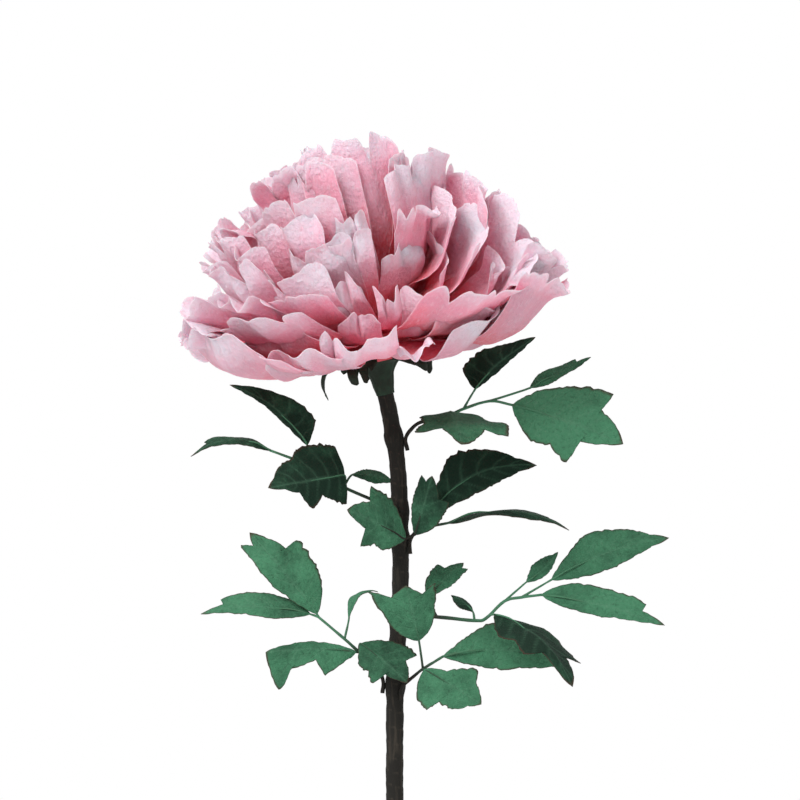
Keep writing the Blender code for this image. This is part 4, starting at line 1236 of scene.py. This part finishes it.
class PEONY_OT_build_pole(bpy.types.Operator):
    """Build the taped pole"""

    bl_idname = "peony.build_pole"
    bl_label = "Build Pole"

    def execute(self, context):
        pole, head = context.scene.peony_pole, context.scene.peony_head
        path = pole_path(head)
        top = path[-1].z
        count = round(top / POLE_STEP)
        heights = [top * i / count for i in range(count + 1)]
        points = [pole_axis_at(height, path) for height in heights]
        radii = [pole_radius_at(height, pole) for height in heights]
        bm = tube(points, radii, POLE_SIDES)
        lap = bm.verts.layers.float.new("lap")
        for vert in bm.verts:
            away = vert.co - pole_axis_at(vert.co.z, path)
            turn = atan2(away.y, away.x) / tau
            sway = WRAP_SWAY * noise_at(*(vert.co / WRAP_SWAY_SPACING))
            wrap = (vert.co.z / pole.tape_pitch + turn + sway) % 1
            rise = pole.tape_step * (wrap - 0.5)
            for (height, squeeze, spacing), sharp in ((TAPE_LUMPS, False), (TAPE_CREASES, True)):
                value = noise.noise(Vector((away.x, away.y, vert.co.z * squeeze)) / spacing)
                rise += height * (-abs(value) if sharp else value)
            vert[lap] = wrap**3
            if 1 * MM < vert.co.z < top - 1 * MM:
                vert.co = vert.co + away.normalized() * rise
        finished_piece(bm, "taped_pole", [pole_tape(pole)], "pole")
        return {"FINISHED"}


class PEONY_OT_set_stage(bpy.types.Operator):
    """Set the floor, the soft light and the camera"""

    bl_idname = "peony.set_stage"
    bl_label = "Set Stage"

    def execute(self, context):
        scene, stage = context.scene, context.scene.peony_stage
        scene.view_settings.view_transform = "Standard"
        self.set_camera(scene)
        self.set_world(scene, stage)
        self.set_floor(scene, stage)
        self.set_lamp(scene, "key", stage.key_watts, *KEY_LAMP)
        self.set_lamp(scene, "fill", stage.fill_watts, *FILL_LAMP)
        return {"FINISHED"}

    def set_camera(self, scene):
        """A level camera in front of the head, as far off as the photograph's."""
        camera = bpy.data.objects.new("camera", bpy.data.cameras.new("camera"))
        scene.collection.objects.link(camera)
        camera.location = CAMERA_AIM - Vector((0, CAMERA_DISTANCE, 0))
        camera.rotation_euler = (radians(90), 0, 0)
        camera.data.lens = camera.data.sensor_width * CAMERA_DISTANCE / PICTURE_WIDTH
        camera.data.clip_end = 50
        scene.camera = camera

    def set_world(self, scene, stage):
        """White surroundings that the camera sees at full strength."""
        world = bpy.data.worlds.new("surroundings")
        scene.world = world
        world.use_nodes = True
        nodes, links = world.node_tree.nodes, world.node_tree.links
        background = nodes["Background"]
        background.inputs["Color"].default_value = (1, 1, 1, 1)
        path = nodes.new("ShaderNodeLightPath")
        strength = None
        for ray in ("Is Camera Ray", "Is Glossy Ray", "Is Transmission Ray"):
            seen = nodes.new("ShaderNodeMath")
            seen.operation = "MAXIMUM"
            links.new(path.outputs[ray], seen.inputs[0])
            if strength is None:
                seen.inputs[1].default_value = stage.sky
            else:
                links.new(strength, seen.inputs[1])
            strength = seen.outputs[0]
        links.new(strength, background.inputs["Strength"])

    def set_floor(self, scene, stage):
        """A plain pale floor under the pole's foot."""
        bm = bmesh.new()
        bmesh.ops.create_grid(bm, x_segments=1, y_segments=1, size=stage.floor_size / 2)
        mesh = bpy.data.meshes.new("floor")
        bm.to_mesh(mesh)
        bm.free()
        finish = Finish("floor", roughness=0.9, specular=0.1)
        finish.shader.inputs["Base Color"].default_value = (*stage.floor_colour, 1)
        mesh.materials.append(finish.material)
        floor = bpy.data.objects.new("floor", mesh)
        scene.collection.objects.link(floor)

    def set_lamp(self, scene, name, watts, place, size):
        """A square soft lamp that faces the flower head."""
        light = bpy.data.lights.new(name, "AREA")
        light.energy = watts
        light.size = size
        lamp = bpy.data.objects.new(name, light)
        lamp.location = place
        lamp.rotation_euler = (CAMERA_AIM - place).to_track_quat("-Z", "Y").to_euler()
        scene.collection.objects.link(lamp)


class VIEW3D_PT_peony(bpy.types.Panel):
    """The peony's steps and settings"""

    bl_label = "Crepe Paper Peony"
    bl_space_type = "VIEW_3D"
    bl_region_type = "UI"
    bl_category = "Peony"

    def draw(self, context):
        scene = context.scene
        for group, settings in (
            ("peony.build_petals", scene.peony_head),
            ("peony.build_calyx", None),
            ("peony.build_sprays", scene.peony_leaves),
            ("peony.build_pole", scene.peony_pole),
            ("peony.set_stage", scene.peony_stage),
        ):
            box = self.layout.box()
            box.operator(group)
            for name in settings.__annotations__ if settings else ():
                box.prop(settings, name)


CLASSES = (
    PEONY_PG_head,
    PEONY_PG_leaves,
    PEONY_PG_pole,
    PEONY_PG_stage,
    PEONY_OT_build_petals,
    PEONY_OT_build_calyx,
    PEONY_OT_build_sprays,
    PEONY_OT_build_pole,
    PEONY_OT_set_stage,
    VIEW3D_PT_peony,
)


def register():
    """Makes the settings, the steps and the panel known to Blender."""
    for cls in CLASSES:
        bpy.utils.register_class(cls)
    bpy.types.Scene.peony_head = PointerProperty(type=PEONY_PG_head)
    bpy.types.Scene.peony_leaves = PointerProperty(type=PEONY_PG_leaves)
    bpy.types.Scene.peony_pole = PointerProperty(type=PEONY_PG_pole)
    bpy.types.Scene.peony_stage = PointerProperty(type=PEONY_PG_stage)


def unregister():
    """Takes them away again."""
    for name in ("peony_stage", "peony_pole", "peony_leaves", "peony_head"):
        delattr(bpy.types.Scene, name)
    for cls in reversed(CLASSES):
        bpy.utils.unregister_class(cls)


def main():
    """Builds the peony in order."""
    register()
    bpy.ops.peony.set_stage()
    bpy.ops.peony.build_pole()
    bpy.ops.peony.build_calyx()
    bpy.ops.peony.build_petals()
    bpy.ops.peony.build_sprays()
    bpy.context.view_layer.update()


if __name__ == "__main__":
    main()
